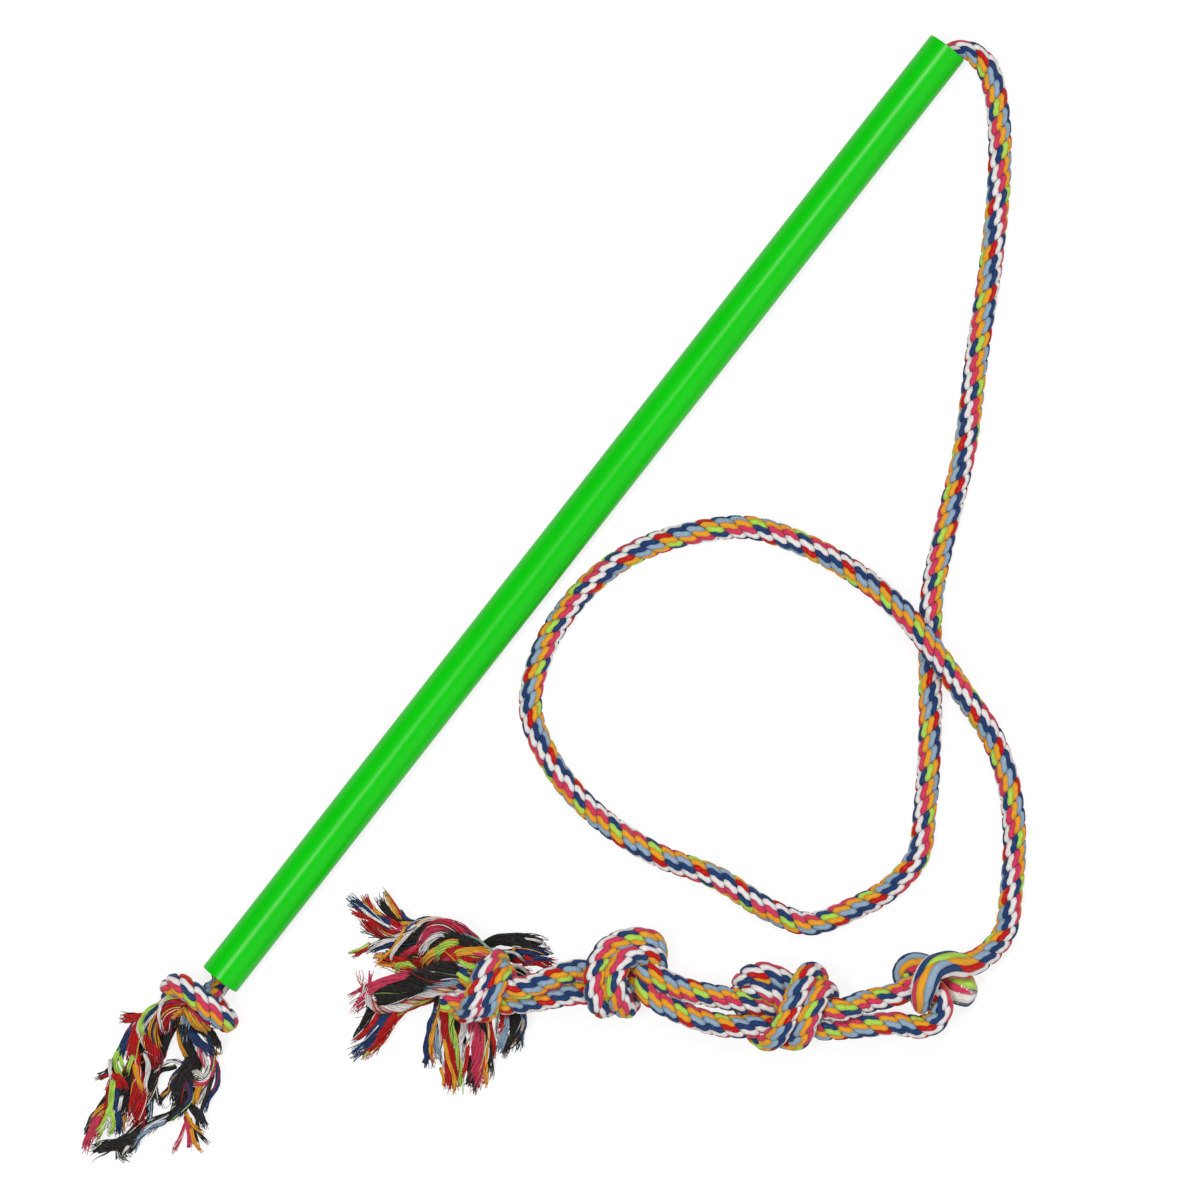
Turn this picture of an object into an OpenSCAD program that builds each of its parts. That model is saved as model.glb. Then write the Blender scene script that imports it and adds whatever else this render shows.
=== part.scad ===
// Dog flirt pole: a pipe, a lead rope that runs through it, and a knotted rope toy hitched to the lead.
// The origin is on the axis of the pole at half its length, X runs to the mouth and Z is up.

/* [Pole] */
// Length of the pipe
pole_length = 700; // [400:10:1200]
// Outside diameter of the pipe
pole_d = 25; // [23:0.5:40]
// Thickness of the pipe's wall
pole_wall = 2; // [1:0.1:2.4]
// Chamfer on the cut edges of the pipe
pole_chamfer = 0.4; // [0.1:0.1:0.8]

/* [Rope] */
// Diameter of the rope
rope_d = 13; // [9:0.5:14]
// Room left between the rope and whatever it passes through or round
rope_room = 0.6; // [0.4:0.1:1]
// Thickness of the clear film on the end of the lead
film_wall = 0.4; // [0.2:0.1:0.6]

/* [Handle end] */
// Bare rope between the pipe's end and the stopper knot, which is how far the rope slides
neck_gap = 7; // [3:0.5:20]
// Length of the unlaid strands below the stopper knot
handle_tail_length = 70; // [50:5:140]

/* [Toy] */
// Distance from the hitch to the middle knot
middle_knot_reach = 81; // [70:1:120]
// Distance from the middle knot to the next knot
second_knot_reach = 95; // [85:1:140]
// Distance from the second knot to the end knot
end_knot_reach = 87; // [75:1:140]
// Length of the unlaid strands past the end knot
toy_tail_length = 60; // [45:5:120]

/* [Hidden] */
$fn = 96;

bore_d = pole_d - 2 * pole_wall;
rope_r = rope_d / 2;
floor_z = -pole_d / 2;
// Sides of a rope's section, and the distance between its rings in a knot and along the ground
rope_sides = 10;
hank_sides = 8;
knot_step = rope_d / 2;
lay_step = rope_d * 2;
// How far the rope can stand off the axis of the bore
bore_room_share = 0.75;
bore_play = bore_d / 2 - rope_r - rope_room * bore_room_share;
// The toy and the lead are laid out on the ground at this angle to the pole
lay_turn = -52;
mouth = [pole_length / 2, 0, floor_z];

pole_colour = "limegreen";
lead_colour = "orange";
toy_colour = "crimson";
tail_colour = "midnightblue";
film_colour = "lightgoldenrodyellow";

// Curves

function unit(v) = v / norm(v);

function turned(v, angle) = [v.x * cos(angle) - v.y * sin(angle), v.x * sin(angle) + v.y * cos(angle), v.z];

// Slope of a route at its point i, weighted by the lengths of the spans on both sides
function slope(route, i) =
    i == 0 ? unit(route[1] - route[0]) :
    i == len(route) - 1 ? unit(route[i] - route[i - 1]) :
    let (before = route[i] - route[i - 1], after = route[i + 1] - route[i])
    let (a = norm(before), b = norm(after))
    (before * b / a + after * a / b) / (a + b);

// Place and direction on the span after point i, a share t of the way along it
function place(route, i, t) =
    let (d = norm(route[i + 1] - route[i]), m0 = slope(route, i) * d, m1 = slope(route, i + 1) * d)
    let (u = 1 - t)
    [
        route[i] * (1 + 2 * t) * u * u + m0 * t * u * u + route[i + 1] * t * t * (3 - 2 * t) - m1 * t * t * u,
        unit((route[i + 1] - route[i]) * 6 * t * u + m0 * u * (1 - 3 * t) - m1 * t * (2 - 3 * t))
    ];

// Rings [centre, direction, fullness] along a route from one of its points to another
function rings(route, first, last, step, full) = [
    for (i = [first : last - 1])
        let (n = max(1, round(norm(route[i + 1] - route[i]) / step)))
        for (k = [0 : (i == last - 1 ? n : n - 1)])
            let (t = k / n, at = place(route, i, t))
            [at[0], at[1], full[i] + (full[i + 1] - full[i]) * t]
];

// The side direction of each ring, carried along so that the tube doesn't twist
function square_to(side, direction) = unit(side - (side * direction) * direction);
function start_side(direction) = abs(direction.z) < 0.9 ? [0, 0, 1] : [1, 0, 0];
function side_list(list) = [
    for (i = 0, side = square_to(start_side(list[0][1]), list[0][1]);
        i < len(list);
        i = i + 1, side = i < len(list) ? square_to(side, list[i][1]) : side)
        side
];

// A point on a ring, at an angle round it
function ring_point(ring, side, angle, radius) =
    ring[0] + (side * cos(angle) + cross(ring[1], side) * sin(angle)) * radius * ring[2];

// A closed tube through rings: radii are [up, across] and each ring's fullness scales them
module tube(list, radii, sides, count = rope_sides) {
    n = len(list);
    points = [
        for (i = [0 : n - 1], j = [0 : count - 1])
            let (a = 360 * j / count, side = sides[i], across = cross(list[i][1], side))
            list[i][0] + (side * cos(a) * radii[0] + across * sin(a) * radii[1]) * list[i][2]
    ];
    walls = [
        for (i = [0 : n - 2], j = [0 : count - 1])
            let (a = i * count + j, b = i * count + (j + 1) % count)
            each [[a, a + count, b], [b, a + count, b + count]]
    ];
    low = [for (j = [0 : count - 1]) j];
    high = [for (j = [count - 1 : -1 : 0]) (n - 1) * count + j];
    polyhedron(points, concat(walls, [low, high]));
}

// Rope along part of a route, cut into lengths that don't touch themselves
module rope(route, first, last, step, full, lengths = 1) {
    list = rings(route, first, last, step, full);
    sides = side_list(list);
    n = len(list) - 1;
    for (k = [0 : lengths - 1]) {
        a = floor(n * k / lengths);
        b = floor(n * (k + 1) / lengths);
        part = [for (i = [a : b]) list[i]];
        part_sides = [for (i = [a : b]) sides[i]];
        tube(part, [rope_r, rope_r], part_sides);
    }
}

// The lengths of a knot that press into each other, joined as one skin at their own size
module one_skin() {
    resize([0, 0, 0])
    union()
    children();
}

// The lead: handle knot, run through the pole, lay on the ground and hitch, as one route

// Stopper knot, in rope diameters: away from the pole, to the left of it, and up from the knot's middle
handle_knot_shares = [
    [1, 0.4, 0.35], [0.85, 0.62, 0.05], [0.6, 0.75, -0.35], [0.1, 0.3, -0.92], [0, -0.55, -0.92],
    [0.1, -1.3, -0.5], [0.1, -1.35, 0.4], [0.05, -0.5, 1], [0, 0.5, 1], [0.1, 1.3, 0.6],
    [0.55, 1.45, -0.1], [0.95, 0.85, -0.5], [0.6, 0.1, -0.4], [0, -0.15, -0.55], [-0.6, -0.12, -0.75]
];
handle_knot_high_share = 1.5;
handle_knot_back_share = 0.6;
handle_knot_centre = [-pole_length / 2 - neck_gap - handle_knot_back_share * rope_d, 0, floor_z];
handle_route = [
    for (p = handle_knot_shares)
        handle_knot_centre + [-p.x, p.y, p.z + handle_knot_high_share] * rope_d
];

// Run through the pole, low in the bore at the handle end and over to the left before the mouth
core_low = [0, 0, -bore_play];
core_turn_shares = [0, 0.3, -0.75];
core_side_shares = [0, 0.35, -0.35];
core_bend = 60;
core_end = 17;
core_route = [
    [-pole_length / 2 + rope_d, 0, 0] + core_low,
    [-pole_length / 2 + 2 * rope_d, 0, 0] + core_low,
    [-pole_length / 4, 0, 0] + core_low,
    [0, 0, 0] + core_low,
    [pole_length / 4, 0, 0] + core_low,
    [pole_length / 2 - 2 * core_bend, 0, 0] + core_low,
    [pole_length / 2 - core_bend, 0, 0] + core_turn_shares * bore_play,
    [pole_length / 2 - core_end, 0, 0] + core_side_shares * bore_play
];

// Lay on the ground from the mouth: right, forward, and lift in rope diameters
lead_points = [
    [2, -2, 0.4], [11, -1, 0.4], [18, -5, 0.35], [24, -12, 0.25], [28, -24, 0.1], [31, -46, 0],
    [31, -75, 0], [27, -120, 0], [18, -180, 0], [10, -240, 0], [-2, -290, 0], [-9, -325, 0],
    [-10, -355, 0], [-10, -400, 0], [-13, -450, 0], [-18, -480, 0], [-34, -498, 0], [-58, -511, 0],
    [-82, -519, 0], [-105, -511, 0], [-136, -492, 0], [-172, -478, 0], [-206, -456, 0], [-233, -426, 0],
    [-247, -391, 0], [-240, -358, 0], [-220, -326, 0], [-193, -303, 0], [-150, -287, 0],
    [-118, -284, 0], [-85, -294, 0], [-53, -312, 0.15], [-27, -334, 0.75], [-10, -355, 1.1],
    [9, -382, 0.75], [27, -409, 0.15], [37, -438, 0], [40, -470, 0], [38, -500, 0]
];
lead_route = [
    for (p = lead_points)
        mouth + turned([p.x, p.y, 0], lay_turn) + [0, 0, rope_r + p.z * rope_d]
];

// Hitch, in rope diameters: right of the swing axis, forward of it, and up from the ground
hitch_place = [-16, -567, 0];
hitch_shares = [
    [3.85, 3.3, 0.55], [3.05, 2.35, 0.95], [2, 1.85, 1.6], [1.1, 1.95, 2.3], [0.45, 1.75, 2.75],
    [0.1, 1.05, 2.8], [0, 0.3, 2.4], [0, 0, 1.65], [-0.08, 0.25, 0.95], [-0.3, 0.9, 0.5],
    [-0.68, 1.2, 0.5], [-0.76, 1.54, 0.5], [-0.36, 1.84, 0.5], [0.25, 1.75, 0.52], [0.75, 1.35, 0.55],
    [1.3, 0.98, 0.6], [1.7, 0.78, 0.72], [2.25, 0.64, 0.74], [2.6, 0.6, 0.74]
];
// The rope spreads where it crosses over the toy and is drawn down where it passes through the bight
hitch_full_shares = [1, 1, 1, 1, 1.08, 1.1, 0.72, 0.58, 0.68, 0.92, 1, 1, 1, 1, 0.95, 1, 1.3, 1.34, 0.8];
// Where in the hitch the rope is drawn down: the bar that the bight goes round
hitch_bar = 7;
hitch_route = [
    for (p = hitch_shares)
        mouth + turned(hitch_place, lay_turn) + turned(p, lay_turn) * rope_d
];

lead_line = concat(handle_route, core_route, lead_route, hitch_route);
// The rope is pressed thin where it bends out of the mouth
mouth_full_shares = [0.8, 0.82, 0.92];
lead_full = concat(
    [for (p = handle_route) 1], [for (p = core_route) 1], mouth_full_shares,
    [for (i = [3 : len(lead_route) - 1]) 1], hitch_full_shares
);
core_first = len(handle_route) - 1;
lead_first = core_first + len(core_route);
hitch_first = lead_first + len(lead_route) + 1;
tip_first = hitch_first + 13;
lead_last = len(lead_line) - 1;

// The toy: one rope from a strand end through three knots to the bight and back, as one route

// Knot that shows two slanting turns, in rope diameters from its middle: right, forward, up.
// One list for each of the two ropes that are tied together
slant_knot_upper_shares = [
    [-2.5, 0.35, 0.15], [-1.2, 0.1, 0], [-0.3, 0, -0.2], [0.6, 0.1, -0.6], [1.3, 0.6, -0.7],
    [1.5, 1.25, -0.3], [1.1, 1.5, 0.5], [0.7, 0.9, 1.05], [0.3, 0.05, 1.1], [-0.1, -0.8, 1],
    [-0.5, -1.4, 0.4], [-1, -1.45, -0.5], [-1.5, -0.8, -1], [-1.85, 0.2, -0.9], [-1.9, 0.9, -0.3],
    [-1.4, 1.45, 0.3], [-0.8, 1.5, 0.5], [-0.1, 1.2, 0.4], [0.6, 0.7, 0.2], [1.4, 0.15, 0.3],
    [2.65, -0.1, 0.55]
];
slant_knot_lower_shares = [
    [-2.5, -0.9, 0.1], [-1.2, -0.9, 0], [-0.1, -0.85, -0.4], [0.9, -0.7, -0.8], [1.7, -0.2, -0.7],
    [2, 0.5, -0.1], [1.65, 0.7, 0.7], [1.32, 0.1, 1.1], [0.98, -0.65, 1.1], [0.75, -1.3, 0.6],
    [0.3, -1.5, -0.2], [-0.3, -1.2, -0.95], [-0.9, -0.4, -1.1], [-1.3, 0.4, -0.8], [-1.5, 0.8, -0.1],
    [-1.1, 0.85, 0.45], [-0.5, 0.6, 0.45], [0.1, 0.1, 0.25], [0.8, -0.5, 0.1], [1.5, -0.95, 0],
    [2.65, -1, -0.2]
];
// Knot that shows two turns and the arch that they come from
arch_knot_upper_shares = [
    [-2.2, 0.14, 0.15], [-1.2, 0.15, -0.1], [-0.2, 0.1, -0.3], [0.8, 0.2, -0.7], [1.3, 0.45, -0.8],
    [1.5, 0.95, -0.4], [1.3, 1.45, 0.1], [0.8, 1.62, 0.45], [0.2, 1.6, 0.75], [-0.7, 1.2, 0.95],
    [-1.2, 0.4, 1], [-1.3, -0.5, 1], [-1.15, -1.25, 0.6], [-0.85, -1.5, -0.2], [-0.5, -1.15, -0.9],
    [-0.1, -0.3, -1.1], [0.2, 0.45, -0.8], [0.6, 0.55, -0.1], [1.1, 0.15, 0.35], [1.7, -0.2, 0.35],
    [2.3, -0.5, 0.25]
];
arch_knot_lower_shares = [
    [-2.2, -0.9, -0.1], [-1.2, -0.85, -0.1], [-0.2, -0.8, -0.3], [0.7, -0.6, -0.7], [1.3, -0.1, -0.8],
    [1.5, 0.45, -0.3], [1.25, 0.85, 0.3], [0.6, 0.95, 0.75], [0, 0.7, 1.05], [-0.35, 0.1, 1.1],
    [-0.35, -0.6, 1.1], [-0.1, -1.3, 0.6], [0.15, -1.5, -0.2], [0.35, -1.15, -0.9], [0.5, -0.5, -1],
    [0.65, -0.25, -0.5], [0.9, -0.6, 0.1], [1.5, -1.15, 0.15], [2.3, -1.59, 0.05]
];
toy_high_share = 1.62;
// How tight each knot is drawn, along the toy and across it: the end knot is the tightest
knot_draw_shares = [1, 1];
end_knot_draw_shares = [0.67, 0.79];
// How far each knot stands off the line of the toy, as a share of its distance from the one before
second_knot_rise_share = 0.2;
end_knot_rise_share = -0.075;

middle_place = [-middle_knot_reach, 0, 0];
second_place = middle_place + [-second_knot_reach, second_knot_reach * second_knot_rise_share, 0];
end_place = second_place + [-end_knot_reach, end_knot_reach * end_knot_rise_share, 0];

function on_toy(p) = mouth + turned(hitch_place + p, lay_turn) + [0, 0, toy_high_share * rope_d];
function knot_route(shares, centre, draw = knot_draw_shares) = [
    for (p = shares) on_toy(centre + [p.x * draw.x, p.y * draw.y, p.z] * rope_d)
];
function reversed(list) = [for (i = [len(list) - 1 : -1 : 0]) list[i]];

// The bight: a half turn round the drawn-down rope of the hitch, with room to swing
bight_rooms = 3;
bight_r = rope_r * hitch_full_shares[hitch_bar] + rope_r + bight_rooms * rope_room;
// Two places on each leg of the bight on its way to the middle knot, as shares of the way to that knot
bight_upper_shares = [[-0.42, 0.03, 0], [-0.2, 0.08, 0]];
bight_lower_shares = [[-0.2, -0.125, 0], [-0.42, -0.145, 0]];
bight_turns = concat(
    [for (p = bight_upper_shares) on_toy(p * middle_knot_reach)],
    [for (a = [90 : -30 : -90]) on_toy([bight_r * cos(a), bight_r * sin(a), 0])],
    [for (p = bight_lower_shares) on_toy(p * middle_knot_reach)]
);
upper_out = concat(
    knot_route(slant_knot_upper_shares, end_place, end_knot_draw_shares),
    knot_route(arch_knot_upper_shares, second_place),
    knot_route(slant_knot_upper_shares, middle_place)
);
lower_out = concat(
    knot_route(slant_knot_lower_shares, end_place, end_knot_draw_shares),
    knot_route(arch_knot_lower_shares, second_place),
    knot_route(slant_knot_lower_shares, middle_place)
);
toy_line = concat(upper_out, bight_turns, reversed(lower_out));
toy_full = [for (p = toy_line) 1];

slant_count = len(slant_knot_upper_shares);
arch_upper_count = len(arch_knot_upper_shares);
arch_lower_count = len(arch_knot_lower_shares);
toy_last = len(toy_line) - 1;
upper_second = slant_count;
upper_middle = upper_second + arch_upper_count;
upper_bight = upper_middle + slant_count;
lower_second = toy_last - slant_count;
lower_middle = lower_second - arch_lower_count;
lower_bight = lower_middle - slant_count;

// Unlaid strands: each starts as a strand on the cut face of its rope and opens into a flat hank on the
// ground. The bends near the knot are in rope diameters from the rope's end, and the rest in shares of the
// tail's length from the last bend: out from the knot or right, to the left or forward, and up from the
// ground in rope diameters
handle_strand_turns = [90, 210, 330];
toy_strand_turns = [90, 330, 210, 90, 210, 330];
strand_off_share = 0.24;
strand_open_shares = [0.25, 0.27, 0.45, 0.8];
strand_end_share = 1.3;
strand_lead_share = 0.3;
handle_bend_shares = [
    [[0.66, 0.5, 2], [1.64, 0.55, 1.1]],
    [[0.62, -0.35, 1.5], [1.2, -0.9, 0.6]],
    [[0.15, -0.9, 1.6], [0.38, -1.55, 0.6]]
];
handle_reach_shares = [
    [[0.33, -0.04, 0.55], [0.68, -0.1, 0.5], [1.03, -0.17, 0.55]],
    [[0.17, -0.17, 0.45], [0.42, -0.26, 0.42], [0.85, -0.25, 0.45]],
    [[0.14, -0.16, 0.45], [0.39, -0.29, 0.42], [0.76, -0.43, 0.45]]
];
handle_wide_shares = [0.95, 0.6, 0.42];
handle_high_shares = [0.44, 0.34, 0.34];

toy_bend_shares = [
    [[-0.5, 0.5, 1.7], [-1.15, 1.25, 0.9]],
    [[-0.76, 0.21, 1.15], [-1.62, 0.39, 0.55]],
    [[-0.2, 0.9, 0.55], [0.52, 1.72, 0.4], [1.7, 1.94, 0.35]],
    [[-0.75, 0.15, 1.6], [-1.75, -0.15, 0.8]],
    [[-0.62, -0.65, 1], [-0.62, -1.65, 0.5]],
    [[0.48, -0.95, 0.6], [1.4, -1.42, 0.4], [2.48, -1.55, 0.4]]
];
toy_reach_shares = [
    [[-0.26, 0.15, 0.5], [-0.59, 0.49, 0.5]],
    [[-0.25, 0.04, 0.42], [-0.54, 0.13, 0.45]],
    [[0.32, -0.07, 0.36], [0.73, -0.23, 0.4]],
    [[-0.2, -0.13, 0.48], [-0.45, -0.29, 0.5]],
    [[0.17, -0.25, 0.48], [0.24, -0.56, 0.5]],
    [[0.1, -0.13, 0.44], [0.18, -0.33, 0.46]]
];
toy_wide_shares = [0.85, 0.55, 0.5, 0.95, 1.05, 0.6];
toy_high_shares = [0.38, 0.32, 0.3, 0.38, 0.36, 0.34];

// Route of one strand from a rope's end: its start on the cut face, the bends, then the free length
function strand_route(line, at, turn, bends, reaches, reach_length, flip) =
    let (last = len(line) - 1, i = at)
    let (inward = i == 0 ? unit(line[1] - line[0]) : unit(line[last - 1] - line[last]))
    let (side = square_to(start_side(inward), inward), across = cross(inward, side))
    let (start = line[i] + (side * sin(turn) + across * cos(turn)) * strand_off_share * rope_d)
    let (near = [for (p = bends) lay_at([line[i].x, line[i].y, floor_z], [p.x, p.y, 0] * rope_d, flip, p.z)])
    let (bent = near[len(near) - 1])
    let (far = [for (p = reaches) lay_at([bent.x, bent.y, floor_z], [p.x, p.y, 0] * reach_length, flip, p.z)])
    concat([start, start - inward * strand_lead_share * rope_d], near, far);

// A place on the ground beside a point: flip 0 is the toy's way round and flip 1 is away from the pole
function lay_at(from, step, flip, high_share) =
    from + (flip == 1 ? [-step.x, step.y, 0] : turned(step, lay_turn)) + [0, 0, high_share * rope_d];

// One hank, with its half width and half height as shares of the rope's diameter
module hank(route, wide_share, high_share) {
    last = len(route) - 1;
    full = [for (i = [0 : last])
        i == last ? strand_end_share :
        i < len(strand_open_shares) ? strand_open_shares[i] : 1];
    list = rings(route, 0, last, knot_step * 2, full);
    flat = [for (ring = list) square_to([0, 0, 1], ring[1])];
    tube(list, [high_share * rope_d, wide_share * rope_d], flat, hank_sides);
}

// Sub-parts

module pole_tube() {
    half = pole_length / 2;
    color(pole_colour)
    rotate([0, 90, 0])
    rotate_extrude()
    polygon([
        [bore_d / 2, pole_chamfer - half], [bore_d / 2 + pole_chamfer, -half],
        [pole_d / 2 - pole_chamfer, -half], [pole_d / 2, pole_chamfer - half],
        [pole_d / 2, half - pole_chamfer], [pole_d / 2 - pole_chamfer, half],
        [bore_d / 2 + pole_chamfer, half], [bore_d / 2, half - pole_chamfer]
    ]);
}

module lead_core() { color(lead_colour) rope(lead_line, core_first, lead_first, lay_step, lead_full); }

module handle_knot() {
    color(lead_colour)
    one_skin()
    rope(lead_line, 0, core_first, knot_step, lead_full, lengths = 4);
}

module lead_rope() { color(lead_colour) rope(lead_line, lead_first, hitch_first, lay_step, lead_full); }

module hitch_knot() {
    color(lead_colour)
    one_skin()
    rope(lead_line, hitch_first, tip_first, knot_step, lead_full, lengths = 3);
}

module lead_tip() { color(lead_colour) rope(lead_line, tip_first, lead_last, knot_step, lead_full); }

module toy_bight() {
    color(toy_colour)
    rope(toy_line, upper_bight - 1, lower_bight + 1, knot_step, toy_full);
}

module middle_knot() {
    color(toy_colour)
    one_skin() {
        rope(toy_line, upper_middle, upper_bight - 1, knot_step, toy_full, lengths = 4);
        rope(toy_line, lower_bight + 1, lower_middle, knot_step, toy_full, lengths = 4);
    }
}

module middle_leg_upper() {
    color(toy_colour) rope(toy_line, upper_middle - 1, upper_middle, lay_step, toy_full);
}

module middle_leg_lower() {
    color(toy_colour) rope(toy_line, lower_middle, lower_middle + 1, lay_step, toy_full);
}

module second_knot() {
    color(toy_colour)
    one_skin() {
        rope(toy_line, upper_second, upper_middle - 1, knot_step, toy_full, lengths = 4);
        rope(toy_line, lower_middle + 1, lower_second, knot_step, toy_full, lengths = 4);
    }
}

module end_leg_upper() {
    color(toy_colour) rope(toy_line, upper_second - 1, upper_second, lay_step, toy_full);
}

module end_leg_lower() {
    color(toy_colour) rope(toy_line, lower_second, lower_second + 1, lay_step, toy_full);
}

module end_knot() {
    color(toy_colour)
    one_skin() {
        rope(toy_line, 0, upper_second - 1, knot_step, toy_full, lengths = 3);
        rope(toy_line, lower_second + 1, toy_last, knot_step, toy_full, lengths = 3);
    }
}

module handle_tail(i) {
    color(tail_colour)
    hank(
        strand_route(lead_line, 0, handle_strand_turns[i], handle_bend_shares[i], handle_reach_shares[i],
            handle_tail_length, 1),
        handle_wide_shares[i], handle_high_shares[i]
    );
}

module toy_tail(i) {
    color(tail_colour)
    hank(
        strand_route(toy_line, i < 3 ? 0 : toy_last, toy_strand_turns[i], toy_bend_shares[i],
            toy_reach_shares[i], toy_tail_length, 0),
        toy_wide_shares[i], toy_high_shares[i]
    );
}

// Clear film: a cup over the end of the rope
module lead_tip_film() {
    inner = rings(lead_line, tip_first, lead_last, knot_step, lead_full);
    last = len(inner) - 1;
    outer = concat(inner, [[inner[last][0] + inner[last][1] * film_wall, inner[last][1], inner[last][2]]]);
    sides = side_list(outer);
    count = rope_sides;
    skin = [
        for (i = [0 : last + 1], j = [0 : count - 1])
            ring_point(outer[i], sides[i], 360 * j / count, rope_r + film_wall)
    ];
    lining = [
        for (i = [0 : last], j = [0 : count - 1])
            ring_point(inner[i], sides[i], 360 * j / count, rope_r)
    ];
    m = len(skin);
    skin_walls = [
        for (i = [0 : last], j = [0 : count - 1])
            let (a = i * count + j, b = i * count + (j + 1) % count)
            each [[a, a + count, b], [b, a + count, b + count]]
    ];
    lining_walls = [
        for (i = [0 : last - 1], j = [0 : count - 1])
            let (a = m + i * count + j, b = m + i * count + (j + 1) % count)
            each [[a, b, a + count], [b, b + count, a + count]]
    ];
    lip = [
        for (j = [0 : count - 1])
            let (k = (j + 1) % count)
            each [[j, k, m + j], [k, m + k, m + j]]
    ];
    skin_end = [for (j = [count - 1 : -1 : 0]) (last + 1) * count + j];
    lining_end = [for (j = [0 : count - 1]) m + last * count + j];
    walls = concat(skin_walls, lining_walls, lip, [skin_end, lining_end]);
    color(film_colour) polyhedron(concat(skin, lining), walls);
}

pole_tube();
lead_core();
handle_knot();
handle_tail(0);  // handle_tail_1
handle_tail(1);  // handle_tail_2
handle_tail(2);  // handle_tail_3
lead_rope();
hitch_knot();
lead_tip();
lead_tip_film();
toy_bight();
middle_knot();
middle_leg_upper();
middle_leg_lower();
second_knot();
end_leg_upper();
end_leg_lower();
end_knot();
toy_tail(0);  // toy_tail_1
toy_tail(1);  // toy_tail_2
toy_tail(2);  // toy_tail_3
toy_tail(3);  // toy_tail_4
toy_tail(4);  // toy_tail_5
toy_tail(5);  // toy_tail_6
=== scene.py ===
import math

import bmesh
import bpy
import numpy as np
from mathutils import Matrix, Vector


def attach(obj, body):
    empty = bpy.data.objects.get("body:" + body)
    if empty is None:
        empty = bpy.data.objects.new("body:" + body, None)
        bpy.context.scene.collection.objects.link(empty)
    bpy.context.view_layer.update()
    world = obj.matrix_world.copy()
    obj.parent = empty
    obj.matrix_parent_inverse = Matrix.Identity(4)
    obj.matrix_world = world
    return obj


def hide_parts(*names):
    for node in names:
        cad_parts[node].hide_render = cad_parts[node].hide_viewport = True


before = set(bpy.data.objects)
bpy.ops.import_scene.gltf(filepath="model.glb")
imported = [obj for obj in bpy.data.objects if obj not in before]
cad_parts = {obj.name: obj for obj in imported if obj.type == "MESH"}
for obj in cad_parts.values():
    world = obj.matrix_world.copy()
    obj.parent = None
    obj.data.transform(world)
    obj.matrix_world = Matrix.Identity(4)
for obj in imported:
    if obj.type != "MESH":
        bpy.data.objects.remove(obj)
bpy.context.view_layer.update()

# Camera: it looks straight down on the toy laid out on the ground, from 4 m up through a long lens. It is
# turned so that the pole runs from the bottom left of the picture to the top right. Its sizes are in metres.
view_width = 0.7106
view_middle = (-0.03435, -0.03913)
eye_height = 4.0
picture_turn = math.radians(-52)
camera = bpy.data.objects.new("camera", bpy.data.cameras.new("camera"))
camera.data.sensor_width = 36
camera.data.lens = camera.data.sensor_width * eye_height / view_width
camera.data.clip_end = 50
camera.location = (*view_middle, eye_height)
camera.rotation_euler = (0, 0, picture_turn)
bpy.context.scene.collection.objects.link(camera)
bpy.context.scene.camera = camera

# The lead: one length of 13 mm three-strand cotton rope, each strand laid from five coloured yarns. A stopper
# knot holds it at the handle end. It runs through the pole, lies in a big loop and is hitched round the toy.
# It is cut where the solids are cut: knot, run in the pole, free lead, hitch and the short tip.
mm = 0.001
rope_thick = 13.0
ground = -12.5
pole_half = 350.0
mouth = np.array([pole_half, 0, ground])


def turned(points):
    """Points in the picture's right and forward axes, turned to the pole's axes."""
    points = np.array(points, float)
    right, forward, up = np.moveaxis(points, -1, 0)
    c, s = math.cos(picture_turn), math.sin(picture_turn)
    return np.stack([c * right - s * forward, s * right + c * forward, up], -1)


# Routes are in mm. The points of a knot are in rope thicknesses. The lay of the lead is right and forward of
# the mouth in mm, and how far the rope is lifted off the ground in rope thicknesses.
handle_knot_shares = np.array([
    [1, 0.4, 0.35], [0.85, 0.62, 0.05], [0.6, 0.75, -0.35], [0.1, 0.3, -0.92], [0, -0.55, -0.92],
    [0.1, -1.3, -0.5], [0.1, -1.35, 0.4], [0.05, -0.5, 1], [0, 0.5, 1], [0.1, 1.3, 0.6], [0.55, 1.45, -0.1],
    [0.95, 0.85, -0.5], [0.6, 0.1, -0.4], [0, -0.15, -0.55], [-0.6, -0.12, -0.75],
])
slide_gap = 7
handle_knot_near = 0.6
handle_knot_high = 1.5
handle_knot_place = np.array([-pole_half - slide_gap - handle_knot_near * rope_thick, 0, ground])
handle_route = handle_knot_place + (handle_knot_shares * [-1, 1, 1] + [0, 0, handle_knot_high]) * rope_thick
bore_play = 3.55
core_route = [[x, 0, -bore_play] for x in (-337, -324, -175, 0, 175, 230)]
core_route += [[290, 0.3 * bore_play, -0.75 * bore_play], [333, 0.35 * bore_play, -0.35 * bore_play]]
lead_lay = np.array([
    [2, -2, 0.4], [11, -1, 0.4], [18, -5, 0.35], [24, -12, 0.25], [28, -24, 0.1], [31, -46, 0],
    [31, -75, 0], [27, -120, 0], [18, -180, 0], [10, -240, 0], [-2, -290, 0], [-9, -325, 0], [-10, -355, 0],
    [-10, -400, 0], [-13, -450, 0], [-18, -480, 0], [-34, -498, 0], [-58, -511, 0], [-82, -519, 0],
    [-105, -511, 0], [-136, -492, 0], [-172, -478, 0], [-206, -456, 0], [-233, -426, 0], [-247, -391, 0],
    [-240, -358, 0], [-220, -326, 0], [-193, -303, 0], [-150, -287, 0], [-118, -284, 0], [-85, -294, 0],
    [-53, -312, 0.15], [-27, -334, 0.75], [-10, -355, 1.1], [9, -382, 0.75], [27, -409, 0.15],
    [37, -438, 0], [40, -470, 0], [38, -500, 0],
])
lead_route = mouth + turned(lead_lay * [1, 1, 0])
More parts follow.
